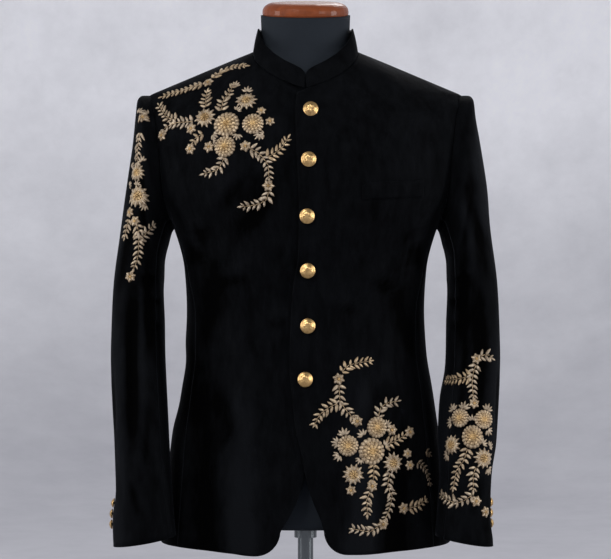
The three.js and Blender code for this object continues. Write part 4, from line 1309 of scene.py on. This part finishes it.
def find_on_sleeve(x, z):
    """Angles and rings of the points of the sleeve's front at x and z."""
    at = np.interp(-z, -(rings["outZ"] + rings["inZ"]) / 2, rings["at"])
    angle = np.full(len(at), 70.0)
    for _round in range(9):
        here = sleeve_point(angle, at)
        by_angle = (sleeve_point(angle + 0.5, at) - here) / 0.5
        by_ring = (sleeve_point(angle, at + 0.02) - here) / 0.02
        miss_x, miss_z = x - here[:, 0], z - here[:, 2]
        area = by_angle[:, 0] * by_ring[:, 2] - by_angle[:, 2] * by_ring[:, 0]
        step_angle = (miss_x * by_ring[:, 2] - miss_z * by_ring[:, 0]) / area
        step_ring = (miss_z * by_angle[:, 0] - miss_x * by_angle[:, 2]) / area
        angle = np.clip(angle + np.clip(step_angle, -12, 12), 8, 165)
        at = np.clip(at + np.clip(step_ring, -0.5, 0.5), 0.2, 15.9)
    return angle, at


def embroider(name, surface, find, side, flowers, sprays, fans, shaded=()):
    """One embroidered place: sprays under fans of leaves, and flowers over both."""
    work = Embroidery(name, surface, find, side)
    for path in sprays:
        work.spray(path)
    # Sprays that lie in the sleeve's shadow get painted shade.
    for path in shaded:
        work.spray(path, longest=9.0, step=6.2, painted_shadow=0.62)
    for anchor, (_x, _z, degrees, size) in zip(work.places([row[:2] for row in fans]), fans):
        work.lay(fan(size), anchor, math.radians(degrees))
    for make, radius, spots in flowers:
        for k, anchor in enumerate(work.places(spots)):
            work.lay(make(radius), anchor, 0.7 * k + 0.2, 0.25)
    work.finish()


# The right chest and shoulder, measured outwards from the centre front
embroider(
    "embroidery_front_right", right_front, find_on_front, -1,
    [(rosette, 18.0, [(107, 818)]),
     (rosette, 15.0, [(71, 818), (109, 787)]),
     (pointed_flower, 14.5, [(137, 828), (81, 851)]),
     (blossom, 8.0, [(135, 880), (156, 813), (157, 785), (131, 787), (81, 787), (50, 733), (198, 806)]),
     (blossom, 6.5, [(60, 836), (48, 821)])],
    [[(115, 836), (113, 850), (105, 863), (99, 875)],
     [(136, 842), (137, 854), (135, 868)],
     [(128, 886), (121, 894), (109, 900), (95, 903), (82, 903)],
     [(142, 878), (154, 876), (170, 870.5), (186, 867), (202, 862)],
     [(152, 823), (172, 823), (190, 818), (197, 811)],
     [(178, 826), (190, 831), (197, 839), (205, 851)],
     [(138, 806), (147, 801), (155, 792)],
     [(109, 774), (113, 765), (120, 756), (139, 750)],
     [(76, 784), (66, 779), (57, 770), (51, 760), (49, 742)],
     [(53, 771), (43, 776), (32, 785), (23, 800)],
     [(49, 727), (52, 717), (66, 708), (87, 705)]],
    [(80, 865, 5, 11), (92, 803, 190, 10), (125, 804, 120, 10), (62, 803, -140, 11), (97, 874, 12, 10),
     (93, 838, 35, 9), (125, 795, 80, 8), (57, 803, -100, 9)])

# The left side of the skirt, low on the front
embroider(
    "embroidery_front_left", body_point, find_on_front, 1,
    [(rosette, 18.5, [(89, 374)]),
     (rosette, 14.5, [(57, 382), (97, 406)]),
     (pointed_flower, 14.0, [(64, 343), (120, 357)]),
     (blossom, 8.0, [(45, 472), (69, 415), (118, 402), (143, 398), (89, 327), (105, 275), (135, 295)]),
     (blossom, 7.0, [(61, 322), (140, 369), (143, 353)])],
    [[(48, 480), (56, 488), (69, 493), (88, 496)],
     [(45, 466), (46, 453), (47, 440)],
     [(45, 440), (33, 434), (21, 425), (12, 410)],
     [(48, 440), (55, 430), (64, 420)],
     [(99, 418), (102, 429), (112, 438), (128, 441)],
     [(92, 358), (92, 346), (90, 333)],
     [(87, 321), (82, 308), (82, 288)],
     [(116, 346), (113, 328), (118, 313), (116, 298), (108, 280)],
     [(100, 273), (85, 267), (62, 270)],
     [(107, 382), (122, 386), (138, 395)],
     [(141, 295), (153, 297), (165, 304)]],
    [(52, 397, 15, 12), (43, 386, 80, 11), (45, 369, 130, 11), (77, 396, 35, 11), (109, 381, -60, 10),
     (112, 409, -60, 9), (73, 363, 150, 9)],
    [[(153, 357), (162, 350), (168, 340), (172, 324)], [(166, 372), (173, 364)]])

# The left sleeve, from the elbow to the cuff
embroider(
    "embroidery_sleeve_left", sleeve_point, find_on_sleeve, 1,
    [(rosette, 16.0, [(226, 394)]),
     (rosette, 13.0, [(210, 419), (242, 417)]),
     (pointed_flower, 13.5, [(199, 382), (241, 365)]),
     (blossom, 7.5, [(233, 499), (229, 439), (230, 308), (243, 293)])],
    [[(237, 501), (245, 504), (255, 499)],
     [(233, 493), (229, 481), (227, 468), (228, 446)],
     [(227, 476), (215, 473), (203, 470), (191, 467)],
     [(220, 380), (215, 365), (205, 348), (200, 324)],
     [(231, 355), (227, 343), (226, 321)],
     [(226, 317), (215, 310), (204, 305)],
     [(203, 305), (193, 308), (184, 314)]],
    [(201, 429, 30, 12), (215, 432, -10, 12), (198, 412, 100, 11), (193, 368, 130, 11), (247, 430, -25, 11),
     (226, 417, 0, 9), (248, 402, -140, 10), (240, 385, -50, 10), (250, 381, -70, 9), (248, 350, -150, 11)])

# The right sleeve, from its head to the elbow
embroider(
    "embroidery_sleeve_right", right_sleeve_point, find_on_sleeve, -1,
    [(pointed_flower, 15.5, [(230, 722)]),
     (pointed_flower, 12.0, [(232, 755)]),
     (blossom, 7.5, [(226, 832), (242, 700), (234, 687), (240, 611)])],
    [[(228, 812), (231, 798), (232, 782), (232, 768)],
     [(232, 683), (229, 670), (229, 653), (230, 639), (236, 620)],
     [(229, 660), (219, 670), (209, 682)],
     [(243, 692), (246, 681), (250, 664)]],
    [(225, 771, -20, 10), (241, 764, 25, 10), (221, 709, -145, 10), (220, 837, -60, 11), (232, 840, 15, 10),
     (244, 738, 50, 9), (232, 738, 10, 8)])


# Dress form: a padded torso and neck under dark slate grey cotton jersey,
# which closes smoothly at the throat.
def make_jersey():
    material, surface, place = new_material("form_jersey", Roughness=0.88, Specular_IOR_Level=0.2)
    cloud = noise(place, 9.0, 4.0, 0.6)
    knit = noise(place, 1600.0, 2.0, 0.5, (1, 1, 0.35))
    heather = cloud * 0.7 + knit * 0.3
    plug(surface, Base_Color=blend_colour(heather, (0.0055, 0.008, 0.0115), (0.0145, 0.019, 0.0255)))
    plug(surface, Normal=bump(knit, 0.4, 0.0005))
    return material


form_sections = table("z half front back square", [
    (264, 140, 99, 97, 2.3),
    (269, 146, 104, 102, 2.3),
    (300, 151, 106, 105, 2.3),
    (360, 156, 106, 108, 2.3),
    (430, 156, 105, 105, 2.3),
    (500, 148, 102, 94, 2.3),
    (564, 144, 102, 86, 2.3),
    (620, 154, 112, 92, 2.3),
    (680, 170, 124, 103, 2.3),
    (740, 180, 128, 110, 2.2),
    (790, 187, 122, 112, 2.1),
    (830, 196, 106, 104, 1.85),
    (855, 203, 94, 94, 1.5),
    (872.1, 206, 84, 87, 1.3),
    (888, 168.2, 76, 77, 1.42),
    (904, 130, 71, 66, 1.42),
    (916, 101.3, 67.5, 59, 1.46),
    (923.5, 83.2, 66, 55, 1.55),
    (930, 70.5, 65.3, 54.3, 1.75),
    (942, 64.6, 65, 54.5, 1.95),
    (962, 62.8, 64, 53.2, 1.95),
    (981, 63.5, 64, 53.5, 1.95),
])
NECK_TILT, NECK_MIDDLE = math.tan(math.radians(11.2)), -5.5
TILT_FROM, NECK_TOP = 962, 981


def make_form():
    around = 96
    z = np.concatenate([[264, 265.5, 269], np.linspace(269, 872.1, 74)[1:],
                        np.linspace(872.1, NECK_Z, 25)[1:], np.linspace(NECK_Z, TILT_FROM, 12)[1:],
                        [972, NECK_TOP]])
    turn = np.radians(np.arange(around) * 360 / around)[None, :]
    ring = {key: np.interp(z, form_sections["z"], form_sections[key])[:, None] for key in form_sections}
    depth = np.where(np.cos(turn) > 0, ring["front"], ring["back"])
    across, ahead = np.abs(np.sin(turn)) / ring["half"], np.abs(np.cos(turn)) / depth
    reach = (across ** ring["square"] + ahead ** ring["square"]) ** (-1 / ring["square"])
    y = -reach * np.cos(turn)
    share = np.clip((ring["z"] - TILT_FROM) / (NECK_TOP - TILT_FROM), 0, 1)
    points = np.stack([reach * np.sin(turn), y, ring["z"] + share * NECK_TILT * (y - NECK_MIDDLE)], axis=-1)
    top_ring = (len(z) - 1) * around
    faces = ring_faces(len(z), around)
    faces.append(tuple(range(around))[::-1])
    faces.append(tuple(range(top_ring, top_ring + around)))
    form = to_object("form_jersey", points.reshape(-1, 3), faces, make_jersey())
    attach(form, "root")
    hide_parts("form_torso")


make_form()


# Neck cap: turned hardwood with a rounded edge, stained red brown and given a
# glossy varnish.
def dress_node(node, material):
    """A better material on a solid of the frame."""
    piece = bpy.data.objects[node]
    piece.data.materials.clear()
    piece.data.materials.append(material)


def make_wood():
    material, surface, place = new_material(
        "varnished_wood", Coat_Weight=0.2, Coat_Roughness=0.07, Specular_IOR_Level=0.15)
    warp = noise(place, 6.0, 3.0, 0.5)
    grain = noise(place, 34.0, 5.0, 0.65, (1, 6, 1))
    pores = noise(place, 420.0, 2.0, 0.5, (1, 0.1, 1))
    figure = grain * 0.75 + warp * 0.35 - pores * 0.15
    plug(surface, Base_Color=blend_colour(figure, (0.050, 0.010, 0.003), (0.30, 0.070, 0.018)))
    plug(surface, Roughness=0.42 + pores * 0.2)
    plug(surface, Normal=bump(grain * 0.5 + pores * 0.5, 0.12, 0.0005))
    return material


dress_node("form_cap", make_wood())


# Stand: a chromed steel pole in a turned socket plate, on a flat round base
# of steel with a black satin powder coat.
def make_chrome():
    material, surface, place = new_material("chrome_plate", Metallic=1.0)
    smear = noise(place, 18.0, 4.0, 0.6, (1, 1, 0.3))
    # The chrome is painted much darker than bare chrome, as painted shade under the jacket's hem.
    plug(surface, Base_Color=blend_colour(smear, (0.10, 0.11, 0.115), (0.17, 0.185, 0.19)))
    plug(surface, Roughness=0.12 + smear * 0.16)
    return material


def make_powder():
    material, surface, place = new_material("powder_coat", Specular_IOR_Level=0.5)
    grit = noise(place, 1800.0, 2.0, 0.6)
    dust = noise(place, 5.0, 5.0, 0.6)
    plug(surface, Base_Color=blend_colour(dust, (0.012, 0.012, 0.013), (0.028, 0.028, 0.031)))
    plug(surface, Roughness=0.38 + dust * 0.15)
    plug(surface, Normal=bump(grit, 0.3, 0.0003))
    return material


chrome = make_chrome()
dress_node("form_flange", chrome)
dress_node("stand_pole", chrome)
dress_node("stand_base", make_powder())
